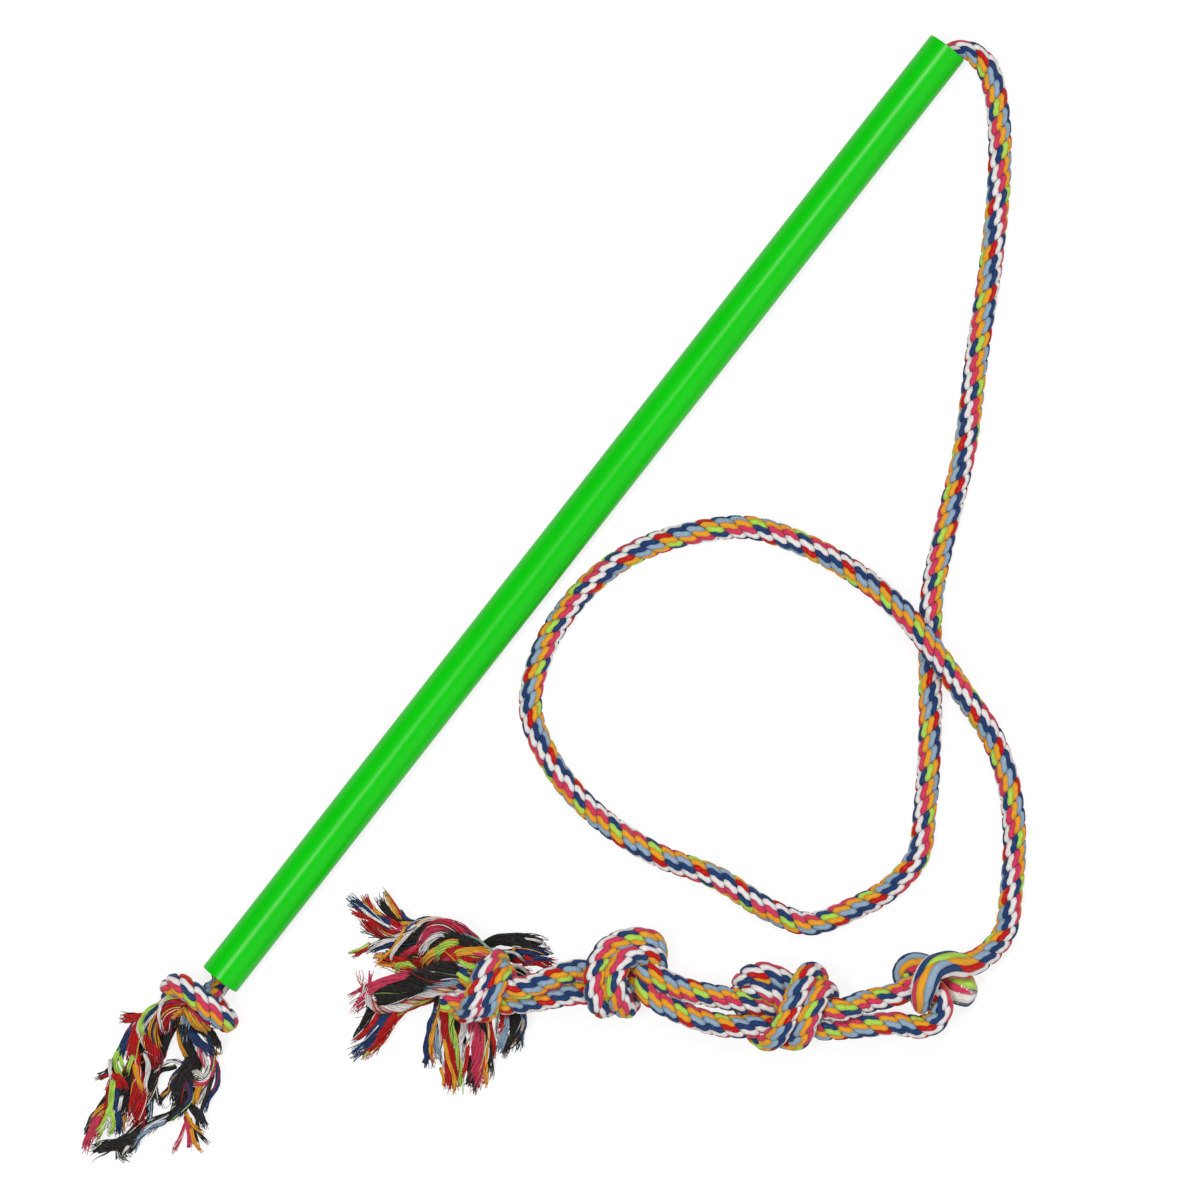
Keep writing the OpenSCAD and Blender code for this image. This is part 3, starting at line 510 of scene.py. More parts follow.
# Each yarn is its colour, its half thickness and its way out from the knot, in mm: right, forward and above
# the ground. Two colours are two yarns that are plied together.
handle_yarns = (
    (
        (BLACK, 6, [[-13, -6, 18], [-25, -15, 12], [-36, -30, 8], [-45, -48, 7], [-51, -65, 6],
                    [-56, -80, 5]]),
        (BLACK, 4, [[-20, -16, 10], [-27, -31, 8], [-32, -49, 6], [-36, -65, 5], [-43, -80, 5]]),
        (RED, 4.5, [[-9, -1, 24], [-17, -2, 26], [-22, -6, 24], [-24, -13, 20], [-25, -21, 12]]),
        (ORANGE, 2, [[-7, -1, 25], [-13, -5, 26], [-17, -9, 23], [-20, -13, 15]]),
        (WHITE, 1, [[-21, 2, 20], [-25, -3, 26], [-26, -9, 26], [-25, -15, 22], [-23, -21, 15]]),
        (RED, 1, [[-25, -5, 22], [-27, -9, 23], [-26, -15, 21], [-25, -22, 14]]),
        (ORANGE, 2.5, [[-25, -3, 16], [-29, -11, 21], [-30, -18, 21], [-28, -25, 18], [-25, -31, 11]]),
        (NAVY, 2.5, [[-26, -4, 18], [-31, -9, 21], [-34, -15, 20], [-35, -21, 15], [-33, -27, 9]]),
        (LIME, 2, [[-25, -3, 16], [-32, -6, 20], [-36, -12, 20], [-37, -18, 19], [-35, -24, 14]]),
        (WHITE, 1, [[-33, -8, 15], [-38, -13, 19], [-39, -18, 19], [-37, -24, 17], [-33, -31, 12]]),
        (RED, 4, [[-33, -15, 12], [-33, -23, 17], [-30, -31, 16], [-29, -36, 12], [-32, -43, 9]]),
        (RED, 3.5, [[-35, -12, 12], [-40, -19, 17], [-42, -28, 17], [-42, -37, 14], [-45, -46, 11]]),
        (NAVY, 3, [[-39, -14, 12], [-44, -21, 16], [-48, -30, 15], [-48, -37, 10]]),
        (WHITE, 1, [[-39, -15, 14], [-42, -23, 18], [-45, -31, 16], [-45, -36, 11]]),
        (LIME, 1.5, [[-45, -24, 9], [-51, -31, 15], [-53, -37, 14], [-51, -44, 12], [-48, -51, 9]]),
        (LIME, 1, [[-50, -31, 14], [-49, -37, 15], [-47, -43, 11]]),
        (BLACK, 3, [[-36, -11, 14], [-43, -11, 13], [-50, -11, 12]]),
        (RED, 2, [[-36, -10, 16], [-43, -11, 16], [-50, -11, 14]]),
        (BLACK, 2, [[-53, -36, 9], [-57, -43, 8], [-65, -48, 7]]),
        (RED, 1, [[-54, -43, 10], [-59, -46, 9], [-65, -48, 8]]),
        (WHITE, 1, [[-56, -37, 12], [-56, -43, 12], [-54, -49, 11]]),
        (RED, 2.5, [[-53, -45, 12], [-49, -49, 13], [-46, -54, 11]]),
        (RED, 1.5, [[-50, -50, 12], [-54, -52, 12], [-59, -54, 10]]),
        (RED, 2.5, [[-43, -31, 15], [-40, -40, 15], [-39, -49, 12], [-40, -55, 11]]),
        (LIME, 1, [[-42, -33, 18], [-44, -39, 18], [-45, -45, 15]]),
        (ORANGE, 1.5, [[-41, -37, 16], [-40, -43, 16], [-38, -51, 14], [-37, -57, 11]]),
        (WHITE, 1, [[-35, -32, 15], [-33, -39, 14], [-34, -46, 13], [-35, -52, 12], [-32, -59, 9]]),
        (WHITE, 0.5, [[-35, -31, 17], [-29, -34, 16], [-29, -37, 14]]),
        (RED, 5, [[-39, -47, 8], [-39, -56, 11], [-40, -66, 11], [-42, -77, 7]]),
        (NAVY, 2.5, [[-53, -53, 10], [-53, -63, 10], [-51, -73, 9], [-51, -83, 7]]),
        (WHITE, 1, [[-49, -58, 12], [-50, -63, 12], [-51, -67, 10]]),
        (LIME, 1.5, [[-54, -49, 14], [-55, -57, 13], [-56, -65, 12], [-60, -74, 10], [-66, -82, 8]]),
        (LIME, 1, [[-56, -63, 13], [-59, -72, 11], [-63, -83, 8]]),
        (LIME, 1, [[-55, -66, 12], [-54, -75, 10], [-57, -82, 8]]),
        (WHITE, 1, [[-54, -66, 11], [-56, -75, 9], [-57, -80, 8]]),
        (RED, 3, [[-55, -51, 8], [-57, -62, 8], [-62, -74, 8], [-68, -86, 7]]),
        (ORANGE, 2.5, [[-60, -65, 8], [-65, -72, 9], [-68, -80, 8]]),
        (PINK, 2, [[-63, -70, 10], [-67, -78, 10], [-70, -86, 9], [-72, -92, 8]]),
        (BLACK, 2.5, [[-57, -58, 6], [-63, -67, 6], [-68, -75, 5], [-70, -84, 5]]),
        (ORANGE, 1.5, [[-48, -71, 8], [-49, -75, 8], [-48, -80, 7]]),
        (BLACK, 3.5, [[-41, -80, 7], [-51, -86, 7], [-60, -88, 6], [-69, -92, 6]]),
        (BLACK, 4.5, [[-39, -77, 6], [-45, -86, 6], [-49, -92, 6], [-44, -95, 5]]),
        (WHITE, 1, [[-45, -88, 11], [-48, -92, 10], [-49, -94, 9]]),
    ),
    (
        (BLACK, 5, [[-11, -13, 20], [-9, -25, 12], [-5, -34, 8], [-7, -43, 7], [-11, -53, 7], [-14, -63, 6],
                    [-18, -71, 6]]),
        (SKY, 3.5, [[-10, -11, 22], [-11, -18, 18], [-9, -26, 14]]),
        (ORANGE, 1, [[-12, -12, 22], [-15, -19, 18], [-14, -28, 13], [-9, -36, 10]]),
        (ORANGE, 2, [[-13, -28, 10], [-11, -33, 8], [-8, -36, 7]]),
        (BLACK, 2.5, [[-11, -8, 16], [-17, -15, 12], [-23, -25, 8], [-26, -34, 6], [-29, -42, 5]]),
        (WHITE, 0.5, [[-13, -7, 18], [-17, -13, 15], [-19, -18, 12]]),
        (NAVY, 2, [[-9, -38, 11], [-15, -43, 12], [-19, -49, 11], [-19, -58, 9]]),
        (BLACK, 3.5, [[-8, -36, 10], [-12, -43, 13], [-15, -51, 13], [-16, -60, 11], [-17, -68, 9]]),
        (NAVY, 1.5, [[-11, -49, 12], [-8, -58, 11], [-14, -66, 9], [-20, -72, 8]]),
        (BLACK, 3, [[-9, -43, 10], [-10, -52, 10], [-13, -59, 9]]),
        (NAVY, 1, [[-10, -39, 12], [-20, -37, 9], [-27, -40, 7]]),
        (WHITE, 0.5, [[-11, -40, 12], [-21, -37, 11], [-29, -43, 9], [-31, -46, 7]]),
        (BLACK, 1.5, [[-19, -41, 6], [-27, -43, 6], [-30, -51, 5], [-28, -60, 5], [-25, -66, 5]]),
        (BLACK, 1.5, [[-20, -53, 6], [-25, -58, 6], [-28, -63, 5]]),
        (ORANGE, 0.5, [[-20, -54, 8], [-26, -58, 8]]),
        (BLACK, 3, [[-14, -65, 6], [-21, -70, 6], [-29, -73, 6], [-36, -79, 5]]),
        (SKY, 2, [[-25, -73, 9], [-32, -76, 9], [-39, -82, 8], [-43, -91, 7]]),
        (SKY, 1, [[-32, -61, 7], [-32, -68, 7], [-33, -73, 7]]),
        (WHITE, 0.5, [[-22, -69, 10], [-31, -74, 10], [-37, -80, 9], [-40, -85, 8]]),
    ),
    (
        (ORANGE, 2.5, [[-10, -6, 28], [-5, -12, 28], [1, -17, 22], [5, -21, 12]]),
        (PINK, 1.5, [[-9, -3, 28], [-4, -9, 29], [2, -13, 25], [5, -16, 17]]),
        (BLACK, 3.5, [[-5, -15, 16], [1, -18, 20], [6, -25, 15], [9, -31, 8]]),
        (ORANGE, 1, [[4, -28, 13], [7, -32, 10], [9, -33, 7]]),
        (NAVY, 2.5, [[-9, -16, 18], [-5, -23, 20], [2, -29, 17], [6, -36, 12]]),
        (NAVY, 1.5, [[5, -34, 13], [8, -43, 10], [7, -52, 8], [2, -59, 7], [-1, -70, 6]]),
        ((WHITE, PINK), 2, [[-5, -25, 14], [-1, -34, 14], [2, -42, 13], [-1, -49, 12], [-6, -50, 11],
                            [-8, -47, 9]]),
        (WHITE, 1, [[-1, -31, 15], [2, -39, 14], [2, -46, 12]]),
        (WHITE, 2, [[-1, -46, 11], [-5, -44, 11], [-8, -46, 9]]),
        (PINK, 1.5, [[5, -34, 14], [5, -40, 13], [2, -47, 11], [-1, -53, 9]]),
        (ORANGE, 1.5, [[3, -46, 11], [-2, -50, 11], [-5, -58, 10], [-6, -65, 8]]),
        (WHITE, 2, [[6, -40, 9], [3, -48, 9], [-1, -56, 8], [-4, -65, 7]]),
        (BLACK, 1, [[5, -46, 11], [2, -55, 10], [-1, -63, 9], [-3, -72, 8]]),
        (BLACK, 2.5, [[-7, -65, 9], [-3, -70, 9], [0, -78, 7]]),
        (BLACK, 1, [[-5, -70, 8], [-4, -78, 7], [2, -87, 5]]),
        (ORANGE, 1, [[-11, -68, 10], [-7, -75, 9], [0, -80, 7]]),
        (PINK, 1.5, [[-11, -71, 8], [-9, -81, 7], [-9, -91, 5]]),
        (PINK, 1, [[-11, -73, 8], [-14, -81, 7], [-20, -92, 4]]),
        (ORANGE, 0.5, [[-11, -75, 7], [-16, -86, 5], [-17, -91, 4]]),
        (ORANGE, 1, [[-8, -77, 9], [-6, -85, 7], [-2, -92, 4]]),
        (BLACK, 1, [[-9, -72, 7], [-6, -80, 6], [-4, -88, 4]]),
    ),
)
toy_yarns = (
    (
        (BLACK, 6, [[1, 20, 33], [-10, 25, 28], [-21, 29, 17], [-30, 32, 12], [-43, 24, 8], [-56, 19, 6]]),
        (BLACK, 5.5, [[-23, 27, 12], [-36, 20, 9], [-46, 18, 8], [-59, 20, 6]]),
        (BLACK, 4, [[-34, 34, 10], [-47, 30, 9], [-60, 32, 8], [-68, 34, 6]]),
        (PINK, 3.5, [[-2, 27, 16], [-10, 33, 21], [-19, 36, 21], [-27, 33, 19], [-31, 25, 15],
                     [-34, 16, 9]]),
        (WHITE, 2, [[-2, 23, 16], [-10, 27, 24], [-19, 30, 22], [-27, 27, 19], [-31, 21, 16],
                    [-33, 15, 9]]),
        (SKY, 2.5, [[8, 20, 33], [1, 25, 31], [-6, 28, 25], [-10, 29, 17]]),
        (WHITE, 1, [[-13, 34, 18], [-21, 39, 18], [-31, 38, 17], [-40, 30, 15], [-48, 21, 13],
                    [-51, 16, 11], [-46, 8, 8]]),
        (NAVY, 1.5, [[-21, 37, 16], [-30, 39, 16], [-38, 35, 15], [-45, 26, 13], [-51, 20, 10]]),
        (WHITE, 1.5, [[-34, 36, 15], [-43, 30, 14], [-56, 25, 12], [-66, 19, 9]]),
        (NAVY, 1.5, [[-46, 24, 10], [-56, 22, 9], [-65, 19, 8]]),
        (ORANGE, 0.5, [[-42, 34, 14], [-49, 22, 13], [-55, 16, 11], [-60, 10, 8]]),
        (RED, 2, [[-30, 23, 13], [-40, 19, 12], [-46, 15, 10]]),
        (PINK, 1, [[-34, 23, 14], [-42, 18, 12], [-48, 14, 10]]),
        (RED, 4, [[-43, 31, 9], [-54, 30, 9], [-64, 35, 8], [-70, 39, 6]]),
        (PINK, 1, [[-43, 34, 12], [-50, 31, 11], [-58, 28, 9]]),
        (RED, 2.5, [[-46, 34, 11], [-56, 39, 10], [-64, 44, 8], [-70, 51, 6]]),
        (NAVY, 2.5, [[-52, 35, 12], [-62, 42, 11], [-70, 47, 9], [-77, 51, 7]]),
        (WHITE, 0.5, [[-51, 34, 14], [-62, 40, 13], [-68, 45, 11], [-74, 48, 8]]),
        (RED, 1.5, [[-56, 34, 11], [-66, 41, 9], [-74, 49, 7]]),
        (RED, 1, [[-60, 37, 9], [-70, 41, 8], [-76, 43, 6]]),
        (ORANGE, 1, [[-56, 40, 12], [-63, 46, 10], [-68, 51, 7]]),
        (RED, 1, [[-60, 43, 11], [-64, 49, 9], [-66, 53, 7]]),
        (BLACK, 2.5, [[-42, 35, 9], [-49, 40, 9], [-55, 46, 8], [-59, 52, 6]]),
        (RED, 1, [[-43, 38, 8], [-48, 46, 8], [-56, 57, 6]]),
        (ORANGE, 1, [[-44, 37, 9], [-50, 45, 9], [-54, 53, 7]]),
        (ORANGE, 1, [[-37, 36, 12], [-44, 36, 11], [-51, 37, 9]]),
        (NAVY, 1, [[-37, 37, 10], [-42, 39, 10], [-45, 44, 8]]),
        (LIME, 1, [[-64, 23, 7], [-70, 20, 6], [-76, 18, 5]]),
        (RED, 1.5, [[-62, 22, 7], [-69, 19, 6], [-74, 16, 5]]),
    ),
    (
        (RED, 4, [[4, 18, 34], [-7, 20, 35], [-17, 21, 30], [-26, 14, 18], [-40, 11, 9], [-60, 13, 6]]),
        (ORANGE, 2.5, [[7, 20, 34], [-2, 21, 38], [-11, 19, 36], [-8, 12, 28]]),
        (PINK, 2, [[7, 19, 34], [1, 19, 38], [-5, 20, 36], [-7, 19, 30]]),
        (RED, 2.5, [[1, 11, 30], [-10, 17, 36], [-16, 22, 34], [-23, 24, 24]]),
        (LIME, 2.5, [[-9, 25, 28], [-15, 25, 34], [-21, 22, 32], [-24, 16, 24], [-23, 11, 14]]),
        (ORANGE, 3, [[-15, 23, 26], [-25, 19, 28], [-29, 13, 20], [-27, 9, 10]]),
        (LIME, 1.5, [[1, 11, 34], [-6, 13, 37], [-11, 17, 36], [-14, 20, 28]]),
        (LIME, 1, [[0, 8, 30], [-7, 9, 33], [-11, 12, 30]]),
        (RED, 2, [[-14, 19, 30], [-13, 13, 31], [-9, 8, 26]]),
        (ORANGE, 2, [[-27, 12, 12], [-38, 11, 11], [-49, 12, 9], [-61, 12, 7]]),
        (LIME, 1.5, [[-30, 12, 14], [-33, 9, 13], [-40, 12, 12], [-45, 12, 11], [-47, 8, 9], [-42, 8, 8]]),
        (BLACK, 3, [[-28, 16, 10], [-42, 14, 8], [-56, 14, 6]]),
        (RED, 2.5, [[-42, 14, 10], [-51, 15, 9], [-61, 15, 7]]),
        (ORANGE, 1, [[-54, 16, 10], [-60, 17, 9], [-62, 16, 7]]),
    ),
    (
        (BLACK, 3.5, [[1, 19, 12], [12, 26, 10], [23, 27, 9], [34, 25, 7], [43, 21, 6]]),
        (BLACK, 2.5, [[17, 25, 8], [29, 24, 7], [39, 20, 5]]),
        (NAVY, 3, [[15, 17, 8], [24, 18, 8], [34, 19, 8], [45, 16, 6]]),
        (RED, 3, [[23, 15, 7], [32, 14, 7], [39, 13, 6], [47, 10, 5]]),
        (NAVY, 1.5, [[29, 12, 9], [38, 15, 9], [46, 13, 6]]),
        (WHITE, 0.5, [[15, 20, 18], [22, 19, 16], [26, 16, 12], [28, 12, 8]]),
        (WHITE, 1, [[17, 8, 14], [23, 11, 13], [28, 9, 10], [33, 4, 6]]),
        (WHITE, 0.5, [[18, 9, 14], [25, 10, 11], [30, 6, 6]]),
        (ORANGE, 0.5, [[14, 19, 17], [20, 19, 14], [24, 22, 9]]),
        (BLACK, 3, [[18, 8, 8], [25, 7, 7], [32, 5, 5]]),
        (WHITE, 0.5, [[29, 27, 10], [38, 25, 9], [45, 19, 6]]),
        (RED, 1, [[29, 16, 10], [38, 12, 8], [45, 10, 6]]),
    ),
    (
        (BLACK, 6.5, [[-11, 10, 30], [-21, 8, 29], [-31, 4, 19], [-46, -1, 10], [-60, -9, 8],
                      [-70, -20, 6]]),
        (BLACK, 4, [[-27, 1, 12], [-42, -5, 10], [-56, -14, 8], [-66, -23, 6]]),
        (PINK, 2.5, [[-40, 6, 15], [-51, 3, 14], [-60, -1, 13], [-68, -10, 11], [-74, -18, 8]]),
        (PINK, 1, [[-56, 2, 14], [-63, 0, 12], [-72, -5, 9], [-76, -8, 7]]),
        (PINK, 1, [[-63, 0, 13], [-63, 4, 11], [-63, 8, 9]]),
        (SKY, 2.5, [[-10, 4, 28], [-17, 2, 31], [-25, 0, 24], [-33, -3, 15]]),
        (NAVY, 1.5, [[-10, 5, 28], [-17, 4, 32], [-25, 1, 25], [-30, -1, 18]]),
        ((WHITE, RED), 2.5, [[-11, 0, 26], [-19, -2, 30], [-27, -5, 24], [-34, -8, 18], [-46, -14, 14],
                             [-59, -14, 13], [-65, -7, 12], [-68, 3, 11], [-71, 10, 9]]),
        (WHITE, 1, [[-60, -10, 12], [-63, -3, 11], [-65, 2, 9]]),
        (RED, 3.5, [[-27, -8, 10], [-43, -14, 9], [-51, -22, 9], [-57, -32, 9], [-66, -44, 7]]),
        (RED, 2, [[-47, -15, 10], [-56, -28, 10], [-62, -37, 9], [-69, -44, 6]]),
        (NAVY, 3, [[-51, -16, 9], [-59, -26, 10], [-64, -35, 9], [-75, -43, 6]]),
        (LIME, 1, [[-26, -8, 12], [-42, -15, 11], [-49, -21, 10], [-56, -33, 9], [-64, -43, 6]]),
        (RED, 1.5, [[-59, -18, 10], [-65, -28, 9], [-75, -35, 6]]),
        (NAVY, 1, [[-58, -24, 11], [-66, -34, 9], [-76, -43, 6]]),
        (BLACK, 2.5, [[-63, -16, 7], [-67, -25, 6], [-73, -35, 5]]),
        (SKY, 1, [[-65, -35, 9], [-70, -41, 8], [-73, -46, 5]]),
        (LIME, 0.5, [[-63, -37, 9], [-66, -42, 8], [-69, -45, 5]]),
    ),
    (
        (BLACK, 4.5, [[-15, -7, 18], [-14, -16, 12], [-11, -30, 7], [-9, -49, 5]]),
        (BLACK, 4, [[-9, -7, 18], [-2, -16, 12], [1, -31, 7], [1, -51, 5]]),
        (BLACK, 3, [[-21, -6, 16], [-23, -15, 11], [-25, -30, 6], [-27, -44, 5]]),
        (NAVY, 2.5, [[-23, -14, 13], [-27, -26, 9], [-29, -38, 8], [-27, -50, 6]]),
        (SKY, 1.5, [[-22, -14, 14], [-25, -23, 11], [-24, -34, 9], [-21, -47, 7]]),
        (ORANGE, 1, [[-21, -11, 16], [-25, -25, 12], [-27, -39, 10], [-25, -50, 7]]),
        (WHITE, 1, [[-23, -17, 13], [-21, -31, 9], [-22, -42, 7], [-19, -52, 5]]),
        (BLACK, 1.5, [[-27, -32, 7], [-29, -41, 6], [-31, -50, 5]]),
        (RED, 3, [[-19, -13, 16], [-18, -25, 12], [-17, -36, 10], [-14, -50, 8], [-12, -64, 6]]),
        (RED, 2, [[-17, -34, 9], [-17, -49, 8], [-15, -65, 5]]),
        (ORANGE, 1, [[-19, -33, 12], [-17, -44, 11], [-13, -56, 9], [-13, -66, 6]]),
        (ORANGE, 1, [[-21, -51, 7], [-19, -57, 6], [-20, -63, 5]]),
        (LIME, 1.5, [[-15, -13, 16], [-15, -23, 14], [-12, -34, 12], [-10, -49, 9], [-9, -66, 6]]),
        (LIME, 1, [[-13, -17, 15], [-15, -27, 14], [-13, -36, 12]]),
        (WHITE, 2, [[-10, -15, 15], [-7, -25, 12], [-10, -35, 11], [-8, -45, 9], [-6, -51, 7]]),
        (WHITE, 1.5, [[-1, -20, 13], [-3, -31, 13], [-6, -40, 11], [-6, -49, 8]]),
        (RED, 1, [[-5, -35, 12], [-6, -47, 11], [-9, -57, 8]]),
        (BLACK, 1.5, [[-6, -15, 14], [-4, -23, 12], [-2, -30, 9]]),
        (PINK, 4, [[-1, -16, 14], [-1, -30, 11], [1, -41, 10], [0, -52, 8], [-1, -64, 6]]),
        (PINK, 1.5, [[3, -26, 12], [4, -39, 11], [2, -53, 9], [-2, -66, 6]]),
        (BLACK, 2.5, [[-4, -46, 8], [-3, -55, 7], [-5, -63, 5]]),
        (BLACK, 2.5, [[1, -15, 14], [5, -30, 11], [7, -42, 9], [7, -57, 6]]),
        (ORANGE, 1, [[4, -16, 15], [7, -27, 12], [6, -41, 11], [4, -59, 7]]),
        (ORANGE, 1, [[5, -45, 10], [6, -54, 8], [5, -62, 6]]),
        (RED, 1.5, [[7, -16, 14], [8, -25, 11], [10, -37, 8], [9, -47, 6]]),
        (WHITE, 0.5, [[7, -37, 8], [10, -49, 6], [8, -57, 4]]),
        (BLACK, 1, [[-2, -57, 7], [-1, -62, 6], [-1, -66, 4]]),
    ),
    (
        (BLACK, 5, [[-2, -11, 12], [12, -12, 9], [23, -16, 8], [24, -28, 7], [18, -42, 5]]),
        (SKY, 2, [[12, -13, 11], [16, -22, 10], [15, -32, 9], [12, -43, 6]]),
        (SKY, 1.5, [[18, -18, 11], [17, -30, 10], [15, -41, 7]]),
        (NAVY, 1, [[17, -14, 12], [19, -22, 11], [15, -31, 9], [12, -38, 7]]),
        (RED, 1.5, [[13, -14, 12], [16, -21, 12], [12, -28, 10]]),
        (RED, 1, [[19, -15, 12], [17, -24, 11], [13, -32, 9]]),
        (WHITE, 1, [[13, -15, 13], [12, -26, 11], [13, -35, 9]]),
        (SKY, 1, [[25, -14, 12], [28, -20, 11], [27, -30, 9], [27, -38, 6]]),
        (NAVY, 1, [[26, -15, 12], [29, -23, 10], [25, -35, 8], [27, -38, 6]]),
        (BLACK, 2, [[22, -31, 9], [18, -37, 8], [17, -44, 5]]),
    ),
)
# The tassel's bands take a stronger painted shade at their edges.
tassel_cotton = cotton("tassel_cotton", tassel_colours, yarn_twist=3, fuzz=0.14, edge_shade=0.6)
chance = np.random.default_rng(7)

# A lock is a body with threads wound round it, painted dark as the shade between the threads. On the map
# the body takes the edge of its colour's band, darkest under the painted edge shade, and each thread takes
# half of the band.
lock_step = 2.6
lone_wind = 70
plied_wind = 24
root_drop = 1.5
root_lift = 1
flat = 0.8
thin_yarn = 1
body_sides = 8
body_share = 0.9
body_close = 4
body_full = 0.8
thin_body_full = 0.5
shaded_body_edge = 0.01
shaded_body_band = 0.06
thread_sides = 3
thread_radius = 0.3
thread_lift = 0.1
thread_band = 0.5
fewest_threads = 5
threads_per_mm = 6
late_fray = 6
odd_threads = 0.14
odd_in_black = 0.7
odd_colours = [BLACK, BLACK, BLACK, WHITE, WHITE, ORANGE, LIME, RED, NAVY]


def yarn_lock(skin, colours, thick, points):
    """One yarn, or two plied: it comes up from below, and threads wind along its body and fray at its end."""
    ply = colours if isinstance(colours, tuple) else (colours,)
    wind = plied_wind if len(ply) > 1 else lone_wind
    ahead = (points[1] - points[0]) / np.linalg.norm(points[1] - points[0])
    root = points[0] - ahead * thick - [0, 0, root_drop * thick]
    root[2] = max(root[2], ground + root_lift)
    points = np.concatenate([[root], points])
    run = Run(points, [1] * len(points), [1] * len(points), lock_step)
    rings = len(run.place)
    t = run.walked / run.walked[-1]
    up = np.array([0, 0, 1.0]) - run.along[:, 2:] * run.along
    up = up / np.maximum(np.linalg.norm(up, axis=1), 1e-6)[:, None]
    left = np.cross(up, run.along)
    line = run.place / mm
    swell = thick * np.interp(t, [0, 0.12, 0.75, 1], [0.7, 1, 1, 0.75])
    low = ground + thread_lift

    def tube(middle, across, high, sides, colour, edge, width, shift):
        """A tube along the lock, kept above the ground."""
        turn = (np.arange(sides) / sides - 0.25) * 2 * math.pi
        count = len(middle)
        ring = (middle[:, None] + left[:count, None] * (across[:, None] * np.cos(turn))[..., None]
                + up[:count, None] * (high[:, None] * np.sin(turn))[..., None])
        ring[..., 2] = np.maximum(ring[..., 2], low)
        bands = len(tassel_colours)
        skin.tube(ring * mm, (colour + edge) / bands, width / bands, run.walked[:count] / lay_length + shift)

    body_end = max(Run.fewest, round(rings * body_share))
    closing = np.interp(np.arange(body_end), [body_end - body_close, body_end - 1], [1, 0.2])
    body = swell[:body_end] * (body_full if thick > thin_yarn else thin_body_full) * closing
    # The body is painted dark: painted shade between the threads.
    tube(line[:body_end], body, body * flat, body_sides, ply[0], shaded_body_edge, shaded_body_band, 0)
    threads = round(fewest_threads + threads_per_mm * thick)
    for thread in range(threads):
        count = max(Run.fewest, round(rings * chance.uniform(0.8, 1)))
        angle = 2 * math.pi * (thread / threads + run.walked / wind) + chance.uniform(-0.3, 0.3)
        sway = chance.choice([0.12, 0.12, 0.12, 0.5])
        wave = run.walked / chance.uniform(12, 30) + chance.uniform()
        stray = sway * np.sin(2 * math.pi * wave)
        off = (swell * chance.uniform(0.78, 1) + stray) * (1 + chance.uniform(-0.5, 1.5) * t ** late_fray)
        middle = line + left * (off * np.cos(angle))[:, None] + up * (flat * off * np.sin(angle))[:, None]
        radius = thread_radius * np.interp(t, [0, 0.85, 1], [1.1, 1, 0.6])
        middle[:, 2] = np.maximum(middle[:, 2], low + radius)
        odd = chance.uniform() < odd_threads * (odd_in_black if ply[0] == BLACK else 1)
        colour = chance.choice(odd_colours) if odd else ply[thread * len(ply) // threads]
        tube(middle[:count], radius[:count], radius[:count], thread_sides, colour,
             chance.uniform(0.05, 0.45), thread_band, chance.uniform())


toy_tassel_place = on_toy(end_place) * [1, 1, 0] + [0, 0, ground]
tassels = (
    ("handle_tassel", "handle_tail", "lead", handle_knot_place, handle_yarns),
    ("toy_tassel", "toy_tail", "toy", toy_tassel_place, toy_yarns),
)
for stem, tail, body, centre, strands in tassels:
    for number, strand in enumerate(strands, 1):
        skin = Skin()
        for colours, thick, points in strand:
            yarn_lock(skin, colours, thick, centre + turned(points))
        piece = skin.piece(f"{stem}_{number}", tassel_cotton)
        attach(piece, body)
        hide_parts(f"{tail}_{number}")

# The film: a thin clear plastic sleeve shrunk over the cut end of the lead where it leaves the hitch, so that
# the strands don't open. It is a smooth glossy skin with a few creases, closed over the end. The creases are
# less clear and whitish, partly the film's wrinkles and partly painted highlights. Its sizes and those of the
# floor and lights are in metres.
film, start, shader = new_material("clear_film")
spot = start.node("TexCoord", {}, {}, 3)
crease = start.node("TexNoise", {}, {"Vector": spot, "Scale": 200.0, "Detail": 3.0, "Distortion": 1.5})
shader.inputs["Base Color"].default_value = paint(236, 232, 205)
shader.inputs["Roughness"].default_value = 0.12
# Along the creases the film is more opaque and whitish: partly its wrinkles, partly painted highlights.
crease_highlight = crease.fit(0.54, 0.7, 0.12, 0.75)
start.tree.links.new(crease_highlight.socket, shader.inputs["Alpha"])
shader.inputs["IOR"].default_value = 2.2
shader.inputs["Coat Weight"].default_value = 1.0
shader.inputs["Coat Roughness"].default_value = 0.05
bump = start.node("Bump", {}, {"Strength": 0.5, "Distance": 0.001, "Height": crease})
start.tree.links.new(bump.socket, shader.inputs["Normal"])
first, last = lead.ring[tip_start], lead.ring[lead_end]
film_sides = 28
film_ring_skip = 2
film_gap = 0.0002
film_radius = 0.0071
film_waves = 3
film_wave_high = 0.02
film_wave_wind = 0.35
end_bulge = 0.0012
end_close = 0.7
sleeve = bmesh.new()
loops = []
for i in range(first, last + 1, film_ring_skip):
    ring = []
    for a in range(film_sides):
        angle = 2 * math.pi * a / film_sides
        wave = film_wave_high * math.sin(film_waves * angle + i * film_wave_wind)
        swell = film_gap + film_radius * lead.full[i] * (1 + wave)
        out = lead.side[i] * math.cos(angle) + lead.across[i] * math.sin(angle)
        ring.append(sleeve.verts.new(lead.place[i] + out * swell))
    loops.append([sleeve.edges.new((ring[a], ring[a - 1])) for a in range(film_sides)])
for one, two in zip(loops, loops[1:]):
    bmesh.ops.bridge_loops(sleeve, edges=one + two)
end_cap = bmesh.ops.extrude_edge_only(sleeve, edges=loops[-1])
end_ring = [g for g in end_cap["geom"] if isinstance(g, bmesh.types.BMVert)]
tip = lead.place[last] + lead.along[last] * end_bulge
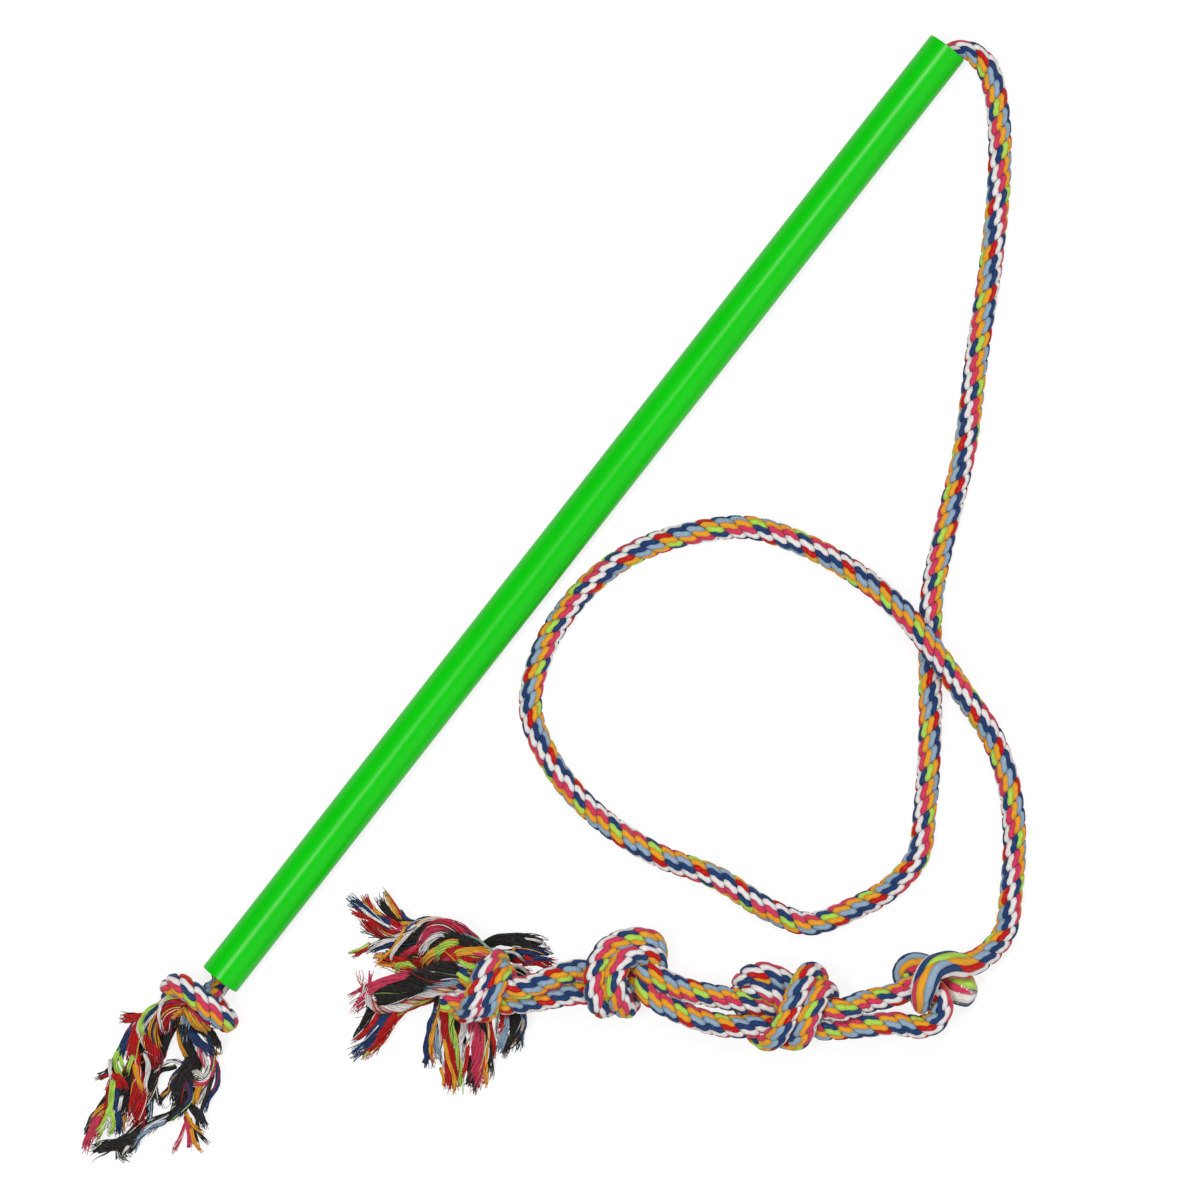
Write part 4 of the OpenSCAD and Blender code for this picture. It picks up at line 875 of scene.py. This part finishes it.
for vert in end_ring:
    vert.co = vert.co.lerp(tip, end_close)
open_edges = [e for e in sleeve.edges if e.is_boundary and all(v in end_ring for v in e.verts)]
bmesh.ops.contextual_create(sleeve, geom=open_edges)
bmesh.ops.recalc_face_normals(sleeve, faces=sleeve.faces)
for face in sleeve.faces:
    face.smooth = True
mesh = bpy.data.meshes.new("film_sleeve")
sleeve.to_mesh(mesh)
sleeve.free()
mesh.materials.append(film)
piece = bpy.data.objects.new("film_sleeve", mesh)
bpy.context.scene.collection.objects.link(piece)
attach(piece, "lead")
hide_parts("lead_tip_film")

# The pole: a plain length of extruded green plastic pipe, 25 mm across with a 2 mm wall, cut square at both
# ends and left open. It is the CAD solid itself, with a satin surface and faint drawing lines along it.
plastic, start, shader = new_material("pole_plastic")
spot = start.node("TexCoord", {}, {}, 3)
drawn = start.node("Mapping", {}, {"Vector": spot, "Scale": (4, 900, 900)})
lines = start.node("TexNoise", {}, {"Vector": drawn, "Scale": 1.0, "Detail": 2.0})
cloud = start.node("TexNoise", {}, {"Vector": spot, "Scale": 18.0, "Detail": 3.0})
green = start.node("RGB")
green.socket.default_value = paint(0, 197, 6)
colour = green.tint(cloud.fit(0.3, 0.7, 0.96, 1.03))
start.tree.links.new(colour.socket, shader.inputs["Base Color"])
rough = lines.fit(0.3, 0.7, 0.24, 0.3)
start.tree.links.new(rough.socket, shader.inputs["Roughness"])
shader.inputs["IOR"].default_value = 1.2
shader.inputs["Specular Tint"].default_value = (2.7, 2.7, 2.3, 1)
bump = start.node("Bump", {}, {"Strength": 0.1, "Distance": 0.0002, "Height": lines})
start.tree.links.new(bump.socket, shader.inputs["Normal"])
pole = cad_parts["pole_tube"]
pole.data.materials.clear()
pole.data.materials.append(plastic)

# Floor and light: a white floor that keeps the toy's shadow and glows where it is seen, two soft boxes
# overhead, a little to the left of the pole, that give a bright stripe near both of its ends, and a wide fill
# from the other side.
floor_material, start, shader = new_material("white_floor")
floor_lights = (0.85, 0.85, 0.85, 1)
floor_seen = (0.22, 0.22, 0.22, 1)
floor_glow = (0.82, 0.82, 0.82, 1)
floor_half = 8
floor_drop = 0.0003
rays = start.node("LightPath")
seen = rays.math("MAXIMUM", rays.other("Is Glossy Ray")).math("MAXIMUM", rays.other("Is Transmission Ray"))
tone = start.node("RGB")
tone.socket.default_value = floor_lights
colour = tone.fade(floor_seen, seen)
start.tree.links.new(colour.socket, shader.inputs["Base Color"])
dark = start.node("RGB")
dark.socket.default_value = (0, 0, 0, 1)
glow = dark.fade(floor_glow, seen)
start.tree.links.new(glow.socket, shader.inputs["Emission Color"])
shader.inputs["Emission Strength"].default_value = 1.0
shader.inputs["Roughness"].default_value = 1.0
shader.inputs["Specular IOR Level"].default_value = 0.0
slab = bmesh.new()
bmesh.ops.create_grid(slab, x_segments=1, y_segments=1, size=floor_half)
bmesh.ops.translate(slab, verts=slab.verts, vec=(0, 0, ground * mm - floor_drop))
mesh = bpy.data.meshes.new("floor")
slab.to_mesh(mesh)
slab.free()
mesh.materials.append(floor_material)
floor = bpy.data.objects.new("floor", mesh)
bpy.context.scene.collection.objects.link(floor)

world = bpy.data.worlds.new("studio")
bpy.context.scene.world = world
world.use_nodes = True
back = next(n for n in world.node_tree.nodes if n.type == "BACKGROUND")
back.inputs["Color"].default_value = (1, 1, 1, 1)
back.inputs["Strength"].default_value = 0.22


def soft_box(name, place, aim, width, height, power):
    """A soft box light at a place, turned to an aim, in metres and watts."""
    lamp = bpy.data.lights.new(name, "AREA")
    lamp.shape = "RECTANGLE"
    lamp.size, lamp.size_y, lamp.energy = width, height, power
    holder = bpy.data.objects.new(name, lamp)
    holder.location = place
    holder.visible_camera = False
    holder.rotation_euler = (Vector(aim) - Vector(place)).to_track_quat("-Z", "Y").to_euler()
    bpy.context.scene.collection.objects.link(holder)


for name, along in (("key_mouth", 0.85), ("key_handle", -0.9)):
    soft_box(name, (along, 0.4, 2.3), (along, 0, 0), width=1.1, height=0.5, power=27)
soft_box("fill", (0.3, -2.2, 1.8), (0, 0, 0), width=4.0, height=3.0, power=27)
bpy.context.scene.view_settings.view_transform = "Standard"
